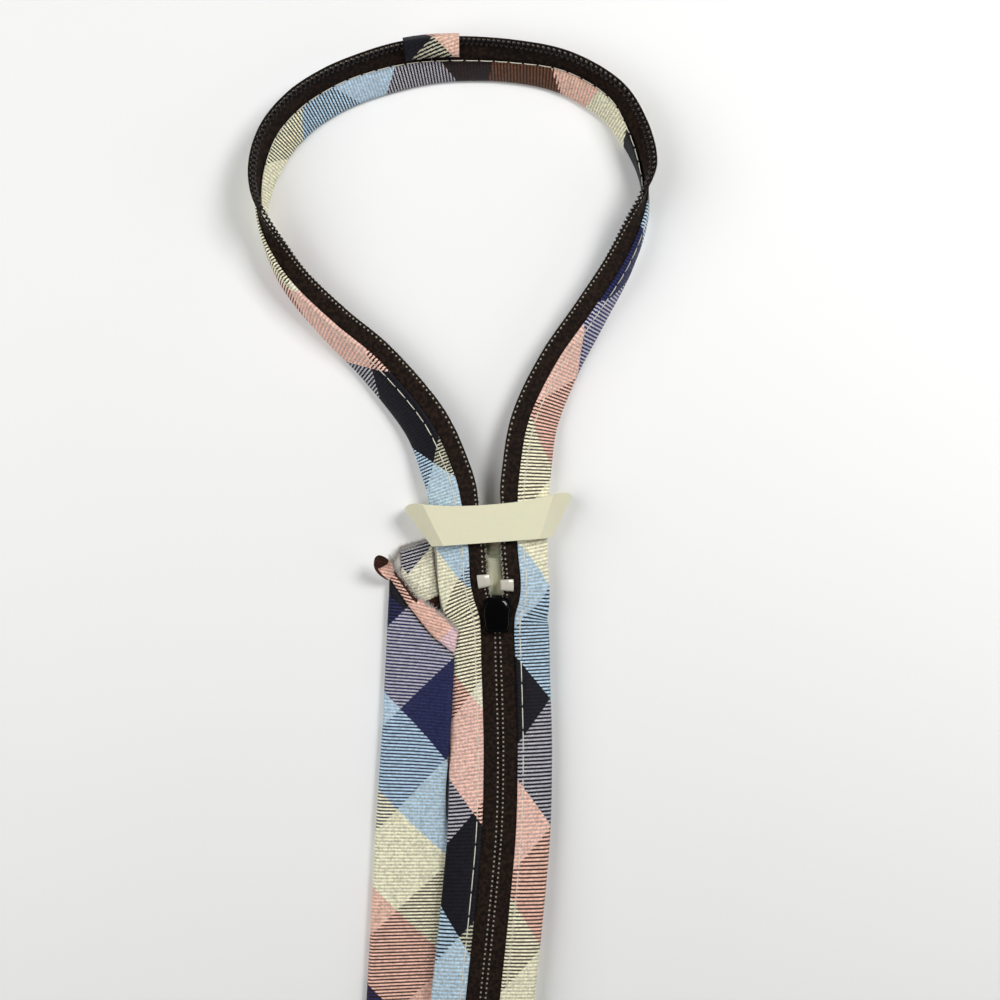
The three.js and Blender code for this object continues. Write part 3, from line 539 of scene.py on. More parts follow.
def softened(name: str, node: str, width: float, steps: int = 3) -> bpy.types.Object:
    """A copy of a hard node's shape with rounded edges.

    Args:
        name: The new piece's name.
        node: The CAD node that gives the shape.
        width: Width of the rounding in millimetres.
        steps: Segments across each rounding.

    Returns:
        The new object.
    """
    mesh = bmesh.new()
    mesh.from_mesh(bpy.data.objects[node].data)
    bmesh.ops.remove_doubles(mesh, verts=mesh.verts, dist=1e-6)
    bmesh.ops.dissolve_limit(mesh, angle_limit=math.radians(2), verts=mesh.verts, edges=mesh.edges)
    sharp = [e for e in mesh.edges if len(e.link_faces) == 2 and e.calc_face_angle(0) > math.radians(18)]
    bmesh.ops.bevel(mesh, geom=sharp, offset=width * MM, segments=steps, profile=0.5, affect="EDGES",
                    clamp_overlap=True)
    data = bpy.data.meshes.new(name)
    mesh.to_mesh(data)
    mesh.free()
    data.polygons.foreach_set("use_smooth", [True] * len(data.polygons))
    piece = bpy.data.objects.new(name, data)
    bpy.context.scene.collection.objects.link(piece)
    modifier = piece.modifiers.new("even", "WEIGHTED_NORMAL")
    modifier.keep_sharp = False
    return piece


@dataclass
class BandPath:
    """The seam of the band, from the left end of the closed zipper round the neck to the right end."""

    loop_width: float = 115.0
    loop_length: float = 138.0
    chain_start: float = 28.5
    chain_length: float = 144.0
    knot_to_rest: float = 12.0
    base: float = 4.6
    half: float = 0.92
    depth: float = 9.3
    reach: float = 6.3
    interlock: float = 0.4
    nape_station: float = 14.6
    table: np.ndarray = field(init=False)
    nape: float = field(init=False)

    def __post_init__(self) -> None:
        """Set up the rows of the whole seam."""
        middle = self.reach - self.interlock + GAP / 2
        chain = [
            [(a * self.loop_width + side * middle, -self.chain_start - d * self.chain_length,
              self.height(e, c), 180.0, c, 1.0)
             for d, a, e, c in CHAIN_STATIONS]
            for side in (-1, 1)
        ]
        throat = [
            [(s[1 + k] * self.loop_width, -s[0] * self.chain_start, self.height(s[3], s[4]), 180.0, s[4], 0.0)
             for s in THROAT_STATIONS]
            for k in (0, 1)
        ]
        loop = [(a * self.loop_width, b * self.loop_length, self.height(e, c), t, c, 0.0) for a, b, e, t,
                c in LOOP_STATIONS]
        self.table = np.array(chain[0][::-1] + throat[0][::-1] + loop + throat[1] + chain[1], float)
        self.nape = len(CHAIN_STATIONS) + len(THROAT_STATIONS) + self.nape_station

    def height(self, edge: float, cloth: float) -> float:
        """Height of the seam over a cloth edge.

        Args:
            edge: Height of the edge as a share of the base.
            cloth: Lean of the cloth in degrees.

        Returns:
            The height in millimetres.
        """
        lean = math.radians(cloth)
        return edge * self.base + self.half * abs(math.cos(lean)) + self.depth * math.sin(lean)

    def row(self, u: np.ndarray) -> np.ndarray:
        """Catmull-Rom values of every column.

        Args:
            u: Parameters, in rows.

        Returns:
            One row of values for each parameter.
        """
        last = len(self.table) - 1
        i = np.minimum(np.floor(u).astype(int), last - 1)
        f = (u - i)[:, None]
        p1, p2 = self.table[i], self.table[i + 1]
        p0 = np.where((i > 0)[:, None], self.table[np.maximum(i - 1, 0)], 2 * p1 - p2)
        p3 = np.where((i + 2 <= last)[:, None], self.table[np.minimum(i + 2, last)], 2 * p2 - p1)
        return p1 + 0.5 * f * (p2 - p0 + f * (2 * p0 - 5 * p1 + 4 * p2 - p3 + f * (3 * (p1 - p2) + p3 - p0)))

    def frames(self, u: np.ndarray) -> dict:
        """Place and section directions of the band.

        Args:
            u: Parameters, in rows.

        Returns:
            Arrays named at, reach, closed, tape_way, tape_face, cloth_way and cloth_face.
        """
        row = self.row(u)
        last = len(self.table) - 1
        d = (self.row(np.minimum(u + 0.05, last)) - self.row(np.maximum(u - 0.05, 0)))[:, :2]
        out = np.stack([-d[:, 1], d[:, 0], 0 * d[:, 0]], 1)
        out /= np.linalg.norm(out, axis=1)[:, None]
        up = np.array([0.0, 0.0, 1.0])
        found = {"at": row[:, :3] + np.array([0.0, self.knot_to_rest, 0.0]),
                 "reach": self.reach - self.interlock * np.clip(row[:, 5], 0, 1),
                 "closed": np.clip(row[:, 5], 0, 1)}
        for name, column in (("tape", 3), ("cloth", 4)):
            lean = np.radians(row[:, column])[:, None]
            found[name + "_way"] = out * np.cos(lean) + up * np.sin(lean)
            found[name + "_face"] = out * np.sin(lean) - up * np.cos(lean)
        return found

    def point(self, frames: dict, w: float | np.ndarray, t: float | np.ndarray) -> np.ndarray:
        """Points of the band's section.

        Args:
            frames: What frames() returned.
            w: Distance from the seam, positive towards the teeth.
            t: Distance from the middle of the cloth or tape, positive towards the reverse.

        Returns:
            One point for each frame.
        """
        count = len(frames["at"])
        w = np.broadcast_to(w, count)[:, None]
        t = np.broadcast_to(t, count)[:, None]
        # Within a millimetre of the seam the lean turns from the cloth's to the tape's.
        k = np.clip((w + 1) / 2, 0, 1)
        k = k * k * (3 - 2 * k)
        way = np.where(w > 0, frames["tape_way"], frames["cloth_way"])
        face = frames["cloth_face"] * (1 - k) + frames["tape_face"] * k
        face = face / np.linalg.norm(face, axis=1)[:, None]
        return frames["at"] + way * w + face * t

    def stretch(self, start: float, end: float, step: float) -> tuple[np.ndarray, np.ndarray]:
        """Parameters spread evenly along the cloth.

        Args:
            start: First parameter.
            end: Last parameter.
            step: Distance between two of them in millimetres.

        Returns:
            The parameters, and the arc length of each from the left end.
        """
        fine = np.linspace(0, len(self.table) - 1, 6000)
        middle = self.point(self.frames(fine), -self.depth / 2, 0.0)
        arc = np.concatenate([[0], np.cumsum(np.linalg.norm(np.diff(middle, axis=0), axis=1))])
        first, last = np.interp([start, end], fine, arc)
        s = np.linspace(first, last, max(2, round((last - first) / step) + 1))
        return np.interp(s, arc, fine), s

    def sweep(self, u: np.ndarray, section: list) -> np.ndarray:
        """Points of a section swept along the band.

        Args:
            u: Parameters, in rows.
            section: Pairs of w and t, each a number or an array with one value for each parameter.

        Returns:
            Points, ring by ring.
        """
        frames = self.frames(u)
        return np.stack([self.point(frames, w, t) for w, t in section], 1).reshape(-1, 3)


@dataclass
class NeckBand:
    """The folded cloth casing and its topstitching."""

    path: BandPath
    wall: float = 0.45
    lip: float = 1.0
    float_length: float = 0.9
    thread: float = 0.11
    # Distance of the reverse's topstitch from the seam, by arc length.
    stitch_line: tuple = ((0, -1.75), (200, -1.75), (235, -1.0), (455, -0.3), (478, -0.3), (505, -1.3),
                          (540, -1.75), (720, -1.75))
    # How far the fold stands out past its even depth: arc length and millimetres.
    bulge: tuple = ((0, 0.0), (438, 0.0), (450, -1.2), (460, -1.8), (470, -0.9), (480, -0.4), (490, 0.0),
                    (535, 0.0), (545, -0.35), (562, -1.45), (570, -0.7), (577, 0.5), (584, 0.3), (592, 0.0),
                    (720, 0.0))

    def section(self) -> tuple[list, list]:
        """Section of the casing, and each point's developed distance from the fold."""
        d = self.path.depth
        half = self.path.half
        back = [(self.lip, 0.55), (self.lip - 0.02, 0.74), (0.72, 0.9), (0.3, 0.95), (-0.1, 0.92),
                (-0.45, 0.8),
                (-0.7, 0.8), (-1.1, 0.93), (-2.0, 1.02), (-4.0, 1.08), (-6.0, 1.07), (-7.6, 0.98),
                (-8.6, 0.8),
                (-9.1, 0.45), (-d, 0.0)]
        front = [(w if w < -2.0 else w - 2 * self.lip * (w + 2.0) / 3.0, -t) for w, t in back[:-1]]
        outer = back + front[::-1]
        run = [0.0]
        for a, b in zip(outer, outer[1:]):
            run.append(run[-1] + math.dist(a, b))
        fold = run[len(back) - 1]
        inner = half - self.wall
        inside = [(-self.lip, -inner), (-3.0, -inner), (-6.0, -inner), (-d + self.wall, 0.0), (-6.0, inner),
                  (-3.0, inner),
                  (self.lip, inner)]
        inside_run = [-(d - self.lip), -(d - 3), -(d - 6), 0.0, d - 6, d - 3, d + self.lip]
        return outer + inside, [fold - r for r in run] + inside_run

    def check_maps(self, s: np.ndarray, v: np.ndarray) -> dict:
        """Check and twill coordinates of the cloth.

        Args:
            s: Arc length of each vertex.
            v: Developed distance of each vertex from the fold, positive on the reverse.

        Returns:
            The two UV maps.
        """
        def count(starts: tuple, place: np.ndarray) -> np.ndarray:
            """Count stripes along the band.

            Args:
                starts: Arc lengths where the stripes begin.
                place: Arc length of each vertex.

            Returns:
                The number of each vertex's stripe, with its share of the way across it.
            """
            knots = np.array([starts[0] - STRIPE, *starts, starts[-1] + STRIPE], float)
            past = (place - knots[-1]).clip(0) / STRIPE
            short = (knots[0] - place).clip(0) / STRIPE
            return np.interp(place, knots, np.arange(len(knots))) + past - short

        warp = count(WARP_STARTS, s + np.interp(s, *zip(*WARP_SHEAR)) * v) + 1
        weft = count(WEFT_STARTS, s - np.interp(s, *zip(*WEFT_SHEAR)) * v) + 1
        fine = np.linspace(-5, 725, 2921)
        pitch = np.interp(fine, *zip(*TWILL_PITCH))
        lines = np.concatenate([[0], np.cumsum(0.25 / pitch[1:])])
        line = np.interp(s, fine, lines) - np.interp(s, *zip(*TWILL_SLANT)) * v / np.interp(s, fine, pitch)
        return {"check": np.stack([warp, weft], 1), "twill": np.stack([line, v / self.float_length], 1)}

    def build_cloth(self) -> bpy.types.Object:
        """Build the casing as one strip."""
        u, s = self.path.stretch(0, len(self.path.table) - 1, 1.0)
        section, run = self.section()
        more = np.interp(s, *zip(*self.bulge))
        deep = self.path.depth - 2
        points = self.path.sweep(u, [(w - more * max(0.0, (-w - 2) / deep), t) for w, t in section])
        maps = self.check_maps(np.repeat(s, len(section)), np.tile(run, len(u)))
        return face_out(make_piece("band_cloth", points, sweep_faces(len(u), len(section)), maps))

    def build_topstitch(self) -> bpy.types.Object:
        """Build the rows of thread on both sides as separate dashes."""
        u, s = self.path.stretch(0.02, len(self.path.table) - 1.02, 1.0)
        points, faces = [], []
        for w, side in ((-0.55, 1), (-1.75, -1)):
            at = s[0] + 1
            while at < s[-1] - 8:
                pitch = 4.3 if 190 < at < 530 else 7.0
                run = at + np.linspace(0, pitch - 0.7, 6)
                frames = self.path.frames(np.interp(run, s, u))
                lift = self.thread * (np.array([0.0, 0.9, 1.0, 1.0, 0.9, 0.0]) * 1.1 - 0.35) + 0.8
                inset = w if side > 0 else np.interp(run, *zip(*self.stitch_line))
                first = len(points) * 6
                for k in range(6):
                    angle = 2 * math.pi * k / 6
                    w_at = inset + 1.25 * self.thread * math.cos(angle)
                    t_at = side * (lift + self.thread * math.sin(angle))
                    points.append(self.path.point(frames, w_at, t_at))
                for r in range(5):
                    for k in range(6):
                        j = (k + 1) % 6
                        one, two = first + k * 6 + r, first + j * 6 + r
                        faces.append((one, two, two + 1, one + 1))
                faces.append(tuple(first + k * 6 for k in range(6)))
                faces.append(tuple(first + k * 6 + 5 for k in range(5, -1, -1)))
                at += pitch
        return face_out(make_piece("topstitch", np.concatenate(points), faces))

    def build(self, cloth: bpy.types.Material, thread: bpy.types.Material) -> list[bpy.types.Object]:
        """Build and dress the band.

        Args:
            cloth: Material of the casing.
            thread: Material of the topstitching.

        Returns:
            The two pieces.
        """
        casing = finish_piece(self.build_cloth(), cloth, "check_cloth", "cloth_band")
        stitches = finish_piece(self.build_topstitch(), thread, "check_cloth")
        return [casing, stitches]


@dataclass
class Zipper:
    """Both tapes with their coils, the stops, the slider and the plain end tab."""

    path: BandPath
    tape_thickness: float = 0.5
    tape_held: float = 4.0
    overhang: float = 0.7
    coil_width: float = 2.1
    coil_thickness: float = 1.4
    coil_pitch: float = 1.42
    filament: float = 0.36
    layer_gap: float = 0.22

    def ends(self, side: Side) -> tuple[float, float]:
        """First and last parameter of one tape.

        Args:
            side: Which half of the zipper.

        Returns:
            The two parameters.
        """
        last = len(self.path.table) - 1
        return (0.0, self.path.nape - 0.02) if side is Side.LEFT else (self.path.nape + 0.02, float(last))

    def throat(self, u: np.ndarray) -> np.ndarray:
        """How far each place is in the open throat, from 0 to 1."""
        return np.interp(u, [7.5, 8, 10.6, 11.4, 38.6, 39.4, 42, 42.5], [0, 1, 1, 0, 0, 1, 1, 0])

    def build_tape(self, side: Side) -> bpy.types.Object:
        """Build one woven tape.

        Args:
            side: Which half of the zipper.

        Returns:
            The tape.
        """
        u, s = self.path.stretch(*self.ends(side), 1.0)
        frames = self.path.frames(u)
        # In the closed chain the tapes meet over the coils; below the former the coils stand proud.
        edge = frames["reach"] - self.overhang * self.throat(u) + 0.1 * frames["closed"]
        half = self.tape_thickness / 2
        back = [(edge, 0.6 * half), (edge - 0.25, half), (edge - 1.0, 0.9 * half), (edge - 1.5, half),
                (2.0, half), (0.8, half),
                (-self.tape_held, half)]
        section = back + [(w, -t) for w, t in back[::-1]]
        points = self.path.sweep(u, section)
        across = np.stack([np.broadcast_to(w, len(u)) for w, _ in section], 1).ravel()
        inset = np.repeat(edge, len(section)) - across
        maps = {"tape": np.stack([np.repeat(s, len(section)), across], 1),
                "stitch": np.stack([np.repeat(s / self.coil_pitch, len(section)), inset], 1)}
        return face_out(make_piece(f"zipper_tape_{side.value}", points, sweep_faces(len(u), len(section)),
                                   maps))

    def build_coil(self, side: Side) -> bpy.types.Object:
        """Build one nylon coil as a flattened spiral of filament.

        Args:
            side: Which half of the zipper.

        Returns:
            The coil.
        """
        u, s = self.path.stretch(*self.ends(side), 0.5)
        turns = int((s[-1] - s[0] - 1) / self.coil_pitch)
        per_turn, around = 12, 5
        angle = 2 * math.pi * np.arange(turns * per_turn + 1) / per_turn
        offset = 0.5 if side is Side.RIGHT else 0.0
        run = s[0] + 0.5 + (angle / (2 * math.pi) + 0.5 * offset) * self.coil_pitch
        frames = self.path.frames(np.interp(run, s, u))
        deep = self.coil_thickness / 2 - self.filament
        wide = self.coil_width / 2 - self.filament
        top = -self.tape_thickness / 2 - self.layer_gap - self.coil_thickness / 2
        flat_cos = np.sign(np.cos(angle)) * np.abs(np.cos(angle)) ** 0.8
        centre_w = frames["reach"] - self.coil_width / 2 + wide * flat_cos
        centre_t = top + deep * np.sin(angle)
        rings = []
        along = np.gradient(frames["at"], axis=0)
        along /= np.linalg.norm(along, axis=1)[:, None]
        for k in range(around):
            turn = 2 * math.pi * k / around
            grow = self.filament * math.cos(turn)
            ring = self.path.point(frames, centre_w + grow * np.cos(angle), centre_t + grow * np.sin(angle))
            rings.append(ring + along * (self.filament * math.sin(turn)))
        points = np.stack(rings, 1).reshape(-1, 3)
        turns_run = np.repeat(angle / (2 * math.pi), around)
        maps = {"turn": np.stack([turns_run, np.repeat(self.throat(np.interp(run, s, u)), around)], 1)}
        return face_out(make_piece(f"zipper_coil_{side.value}", points, sweep_faces(len(angle), around),
                                   maps))

    def build_stop(self, side: Side) -> bpy.types.Object:
        """Build one clip: a crowned strip of metal folded over the coil's edge.

        Args:
            side: Which half of the zipper.

        Returns:
            The clip.
        """
        low, high = (np.array(c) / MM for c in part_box(f"stop_{side.value}"))
        first, last = self.ends(side)
        fine = np.linspace(first, last, 3000)
        y = self.path.frames(fine)["at"][:, 1]
        pick = (fine < 15) if side is Side.LEFT else (fine > 36)
        order = np.argsort(y[pick])
        u = np.interp(np.linspace(low[1] - 0.25, high[1] + 0.1, 9), y[pick][order], fine[pick][order])
        frames = self.path.frames(u)
        tuck = 0.22 * np.array([1, 0.3, 0.05, 0, 0, 0, 0.05, 0.3, 1])
        reach = frames["reach"] + GAP
        top = self.tape_thickness / 2 + GAP
        low_t = -self.tape_thickness / 2 - self.layer_gap - self.coil_thickness - GAP
        opening = reach + 0.7 - 4.2
        section = []
        for k in range(9):
            f = k / 8
            section.append((opening + (reach + 0.2 - opening) * f,
                            top + 0.5 + 0.55 * math.sin(math.pi * (0.1 + 0.8 * f)) - tuck))
        section += [(reach + 0.33, top + 0.25), (reach + 0.4, top - 0.3), (reach + 0.4, low_t + 0.3),
                    (reach + 0.25, low_t - 0.5),
                    (opening, low_t - 0.6), (opening, low_t), (reach, low_t), (reach, top), (opening, top)]
        return face_out(make_piece(f"stop_clip_{side.value}", self.path.sweep(u, section),
                                   sweep_faces(len(u), len(section))))

    def build_crown(self) -> bpy.types.Object:
        """Build the domed cover over the slider's back plate."""
        low, high = (np.array(c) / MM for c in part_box("slider"))
        centre, half = (low + high) / 2, (high - low) / 2
        rings = []
        for scale, rise in ((0.93, -0.25), (0.94, 0.02), (0.92, 0.22), (0.86, 0.4), (0.74, 0.55), (0.5, 0.68),
                            (0.25, 0.74), (0.03, 0.76)):
            ring = []
            for k in range(40):
                a = 2 * math.pi * k / 40
                c, d = math.cos(a), math.sin(a)
                power = 0.75 if d > 0 else 0.38
                taper = 1.0 if d > 0 else 0.93
                x = math.copysign(abs(c) ** power, c) * half[0] * taper
                ring.append([centre[0] + x * scale,
                             centre[1] + math.copysign(abs(d) ** power, d) * half[1] * scale, high[2] + rise])
            rings.extend(ring)
        return face_out(make_piece("slider_crown", np.array(rings), sweep_faces(8, 40)))

    def build_slider(self) -> bpy.types.Object:
        """Build the slider body: both plates and the wedge."""
        return softened("slider_body", "slider", 0.22)

    def build(self, tape: bpy.types.Material, coil: bpy.types.Material, stop: bpy.types.Material,
              slider: bpy.types.Material) -> list[bpy.types.Object]:
        """Build and dress the zipper.

        Args:
            tape: Material of the woven tape.
            coil: Material of the coil.
            stop: Material of the stops.
            slider: Material of the slider.

        Returns:
            The pieces.
        """
        pieces = []
        for side in Side:
            name = side.value
            pieces.append(finish_piece(self.build_tape(side), tape, "zipper_tape", f"tape_{name}"))
            pieces.append(finish_piece(self.build_coil(side), coil, "zipper_coil", f"coil_{name}"))
            pieces.append(finish_piece(self.build_stop(side), stop, "stop_metal", f"stop_{name}"))
        pieces.append(finish_piece(self.build_slider(), slider, "slider_enamel", "slider"))
        pieces.append(finish_piece(self.build_crown(), slider, "slider_enamel"))
        pieces.append(finish_piece(softened("end_tab_cloth", "end_tab", 0.35), tape, "zipper_tape",
                                   "end_tab"))
        return pieces


@dataclass
class NapeKeeper:
    """The cloth tab that wraps the two tape ends at the nape."""

    path: BandPath
    length: float = 15.8
    wall: float = 0.5

    def build_tab(self) -> bpy.types.Object:
        """Build the tab as a folded cloth section round the teeth."""
        nape = self.path.nape
        ends = self.path.frames(np.array([nape - 0.5, nape + 0.5]))["at"]
        half = self.length / float(np.linalg.norm(ends[1] - ends[0])) / 2
        u, s = self.path.stretch(nape - half, nape + half, 0.7)
        top = 0.25 + GAP
        bottom = -0.25 - 0.22 - 1.4 - GAP
        edge = self.path.reach + GAP
        wall = self.wall
        outer = [(1.0, top + wall), (2.5, top + wall), (edge - 0.5, top + wall),
                 (edge + 0.1, top + 0.8 * wall),
                 (edge + 0.8 * wall, top + 0.1), (edge + wall, top - 0.4), (edge + wall, bottom + 0.4),
                 (edge + 0.8 * wall, bottom - 0.1), (edge + 0.1, bottom - 0.8 * wall),
                 (edge - 0.5, bottom - wall),
                 (2.5, bottom - wall), (1.0, bottom - wall)]
        inner = [(1.0, bottom), (edge, bottom), (edge, top), (1.0, top)]
        section = outer + inner
        run = [0.0]
        for a, b in zip(outer, outer[1:]):
            run.append(run[-1] + math.dist(a, b))
        run += [run[-1], 9.0, 7.0, 0.0]
        v = np.tile(run, len(u))
        place = np.repeat(s - s.mean(), len(section))
        maps = {"check": np.stack([3.0 + (place - 0.9 * (v - 8.4)) / 15, 3.0 + (place + 1.0 * (v - 9)) / 20],
                                  1),
                "twill": np.stack([(0.35 * place + v) / 1.14, place / 1.6], 1)}
        return face_out(make_piece("nape_tab", self.path.sweep(u, section), sweep_faces(len(u), len(section)),
                                   maps))

    def build(self, cloth: bpy.types.Material) -> bpy.types.Object:
        """Build and dress the tab.

        Args:
            cloth: Material of the tab.

        Returns:
            The tab.
        """
        tab = finish_piece(self.build_tab(), cloth, "check_cloth", "nape_keeper")
        return tab


@dataclass
class KnotFormer:
    """The moulded former that the band passes through."""

    rounding: float = 0.6

    def build(self, plastic: bpy.types.Material) -> list[bpy.types.Object]:
        """Build and dress the former.

        Args:
            plastic: Material of the moulding.

        Returns:
            Its pieces.
        """
        moulding = softened("former_moulding", "knot_former", self.rounding, 4)
        return [finish_piece(moulding, plastic, "former_plastic", "knot_former")] + [
            finish_piece(piece, plastic, "former_plastic") for piece in (self.build_pad(),
                                                                         self.build_tongue())
        ]

    def lozenge(self, name: str, rows: tuple, base: float, top: float) -> bpy.types.Object:
        """Build a low pad with rounded edges.

        Args:
            name: The piece's name.
            rows: Height y, left x and right x of each row, from the upper end down.
            base: Height of its foot.
            top: Height of its crown.

        Returns:
            The pad.
        """
        points = []
        for k, (y, left, right) in enumerate(rows):
            edge = 0.0 if k in (0, len(rows) - 1) else 1.0
            middle, half = (left + right) / 2, (right - left) / 2
            for f in np.linspace(-1, 1, 13):
                rise = (1 - abs(f) ** 5) ** 0.5
                points.append([middle + half * f, y, base + (top - base) * rise * edge])
            points.append([right, y, base - 0.05])
            points.append([left, y, base - 0.05])
        return face_out(make_piece(name, np.array(points), sweep_faces(len(rows), 15)))

    def build_pad(self) -> bpy.types.Object:
        """Build the pad of the front plate that shows between the tapes."""
        rows = ((2.5, -2.1, 2.4), (2.2, -2.3, 2.6), (0.5, -2.0, 2.5), (-2.5, -2.2, 2.7), (-5.0, -2.9, 3.4),
                (-7.5, -3.3, 3.9),
                (-8.6, -3.2, 3.8), (-8.9, -2.9, 3.5))
        return self.lozenge("former_pad", rows, 3.8, 5.3)

    def build_tongue(self) -> bpy.types.Object:
        """Build the short tongue between the bridge and the pad."""
        rows = ((8.5, -1.5, 1.9), (7.5, -1.6, 2.0), (3.5, -1.8, 2.2), (3.1, -1.6, 2.0))
        return self.lozenge("former_tongue", rows, 3.8, 4.7)


@dataclass
class Blade:
    """The folded blade: front layer, flaps, core, seam allowance and curled corner."""

    length: float = 486.0
    width: float = 80.0
    turn: float = -0.9
    top: tuple[float, float] = (-10.6, 12.0)
    thickness: float = 3.5
    wall: float = 0.6
    cell: float = 15.1
    stations: tuple = ((0, 0.246), (0.06, 0.256), (0.12, 0.268), (0.18, 0.286), (0.24, 0.300), (0.30, 0.314),
                       (0.40, 0.335), (0.52, 0.365), (0.64, 0.400), (0.76, 0.440), (0.86, 0.478),
                       (0.92, 0.500), (1, 0.006))
    raw_end: tuple = ((-0.55, -0.15), (-0.376, -0.138), (-0.346, -0.085), (-0.235, -0.055), (0.3, -0.02))
    slant_end: tuple = ((-0.55, -0.185), (-0.391, -0.185), (-0.315, -0.298), (-0.224, -0.412),
                        (-0.144, -0.476), (0.3, -0.49))
    # Seam allowance along the slanted end: x, y and z of its foot and of its raw edge.
    foot: tuple = ((-31.3, -2.9, 3.75), (-25.2, -12.0, 3.8), (-17.9, -21.1, 4.7), (-11.4, -26.0, 7.15))
    raw: tuple = ((-28.8, -1.2, 4.3), (-27.0, -3.3, 4.5), (-22.9, -8.8, 4.8), (-18.8, -11.7, 5.2),
                  (-13.7, -15.5, 7.0), (-10.2, -19.1, 7.6))
    # Free edge of the left flap, which laps over the band below the seam: y, x and lift.
    lap: tuple = ((-84.0, -10.95, 0.0), (-74.0, -14.1, 0.1), (-66.0, -14.1, 1.0), (-56.0, -13.1, 3.1),
                  (-45.0, -12.2, 3.6),
                  (-26.0, -11.3, 3.7), (20.0, -11.0, 3.7))

    def half(self, down: np.ndarray) -> np.ndarray:
        """Half the blade's width.

        Args:
            down: Distance from the top in millimetres.

        Returns:
            The half width in millimetres.
        """
        along, half = zip(*self.stations)
        return np.interp(down / self.length, along, half) * self.width

    def place(self, x: np.ndarray, down: np.ndarray, z: np.ndarray) -> np.ndarray:
        """Points of the blade turned into the row frame.

        Args:
            x: Distance across from the blade's middle line.
            down: Distance down from its top.
            z: Height.

        Returns:
            The points.
        """
        a = math.radians(self.turn)
        y = -down
        return np.stack([x * math.cos(a) - y * math.sin(a) + self.top[0],
                         x * math.sin(a) + y * math.cos(a) + self.top[1], z], -1)

    def end_line(self, line: tuple, x: np.ndarray) -> np.ndarray:
        """How far down a stepped end line lies.

        Args:
            line: The line's points as shares of the width, across from the knot and down.
            x: Distance across from the blade's middle line.

        Returns:
            Distance down from the blade's top.
        """
        xs, ys = zip(*line)
        return -np.interp((x + self.top[0]) / self.width, xs, ys) * self.width

    def check_maps(self, points: np.ndarray, across: np.ndarray) -> dict:
        """Check and twill coordinates of the blade's cloth.

        Args:
            points: The points in the row frame.
            across: Developed distance of each point across, in the row frame's X.

        Returns:
            The two UV maps.
        """
        # Cells are diamonds 30 mm from corner to corner, the first one beside the slanted end.
        i = (across + 27.0) / (2 * self.cell)
        j = -(points[:, 1] + 27.3) / (2 * self.cell)
        warp = 2.5 + j - i
        weft = np.interp(3.5 + j + i, [-9, 2.07, 3.07, 4.02, 5, 30], [-9, 2, 3, 4, 5, 30])
        line = (points[:, 1] + (0.075 + 0.0012 * (points[:, 1] + 25)) * across) / 0.97
        return {"check": np.stack([warp, weft], 1), "twill": np.stack([line, across / 0.9], 1)}

    def envelope(self) -> bpy.types.Object:
        """Build the folded cloth: the front layer, both folds and both top flaps."""
        mid = self.wall / 2 + 0.05
        radius = (self.thickness - 2 * mid) / 2
        flat = np.linspace(0, 1, 9)
        columns = [(Layer.TOP, f, 1) for f in flat[:-1]]
        columns += [(Layer.FOLD, f, 1) for f in np.linspace(0, 1, 7)[:-1]]
        columns += [(Layer.BOTTOM, f, 0) for f in np.linspace(1, -1, 15)[:-1]]
        columns += [(Layer.FOLD, f, -1) for f in np.linspace(1, 0, 7)[:-1]]
        columns += [(Layer.TOP, f, -1) for f in flat[::-1]]
        rows = np.concatenate([np.linspace(0, 0.9, 110), np.linspace(0.9, 1, 24)[1:]])
        sheets = {1: [], -1: []}
        developed = []
        for kind, f, side in columns:
            first = np.zeros(1)
            for _ in range(3):
                half = self.half(first)
                x = self.across(kind, f, side, half, radius)[0]
                upper = kind is Layer.TOP or (kind is Layer.FOLD and f < 0.5)
                line = self.slant_end if upper else self.raw_end
                first = self.end_line(line, x)
            down = first + (self.length - first) * rows
            half = self.half(down)
            x, z, nx, nz, dev = self.across(kind, f, side, half, radius, True)
            ripple = 0.12 * np.sin(down / 23 + 1.3) * np.sin(x / 9) if kind is Layer.TOP else 0.0
            for way in (1, -1):
                thick = 0.5 * self.wall * way * np.clip((self.length - down) / 6, 0.05, 1)
                spot = self.place(x + nx * thick, down, z + nz * thick + ripple)
                if kind is Layer.TOP and side < 0:
                    y, edge, lift = (np.array(c) for c in zip(*self.lap))
                    seam = self.place(np.full_like(down, -0.35), down, down)[:, 0]
                    spot[:, 0] += (np.interp(spot[:, 1], y, edge) - seam) * (1 - f) ** 2
                    near = np.clip(1 - (np.interp(spot[:, 1], y, edge) - spot[:, 0]) / 13, 0, 1)
                    spot[:, 2] += np.interp(spot[:, 1], y, lift) * near * near
                sheets[way].append(spot)
            developed.append(dev + self.top[0])
        count = len(columns)
        points = np.concatenate([np.stack(sheets[way], 1).reshape(-1, 3) for way in (1, -1)])
        run = np.tile(np.stack(developed, 1).ravel(), 2)
        offset = count * len(rows)
        outside = sweep_faces(len(rows), count, closed=False, capped=False)
        faces = outside + [tuple(offset + v for v in reversed(face)) for face in outside]
        rim = [r * count for r in range(len(rows))] + [(len(rows) - 1) * count + c for c in range(1, count)]
        rim += [r * count + count - 1 for r in range(len(rows) - 2, -1, -1)] + list(range(count - 2, 0, -1))
        for a, b in zip(rim, rim[1:] + rim[:1]):
            faces.append((a, b, b + offset, a + offset))
        return face_out(make_piece("blade_cloth", points, faces, self.check_maps(points, run)))

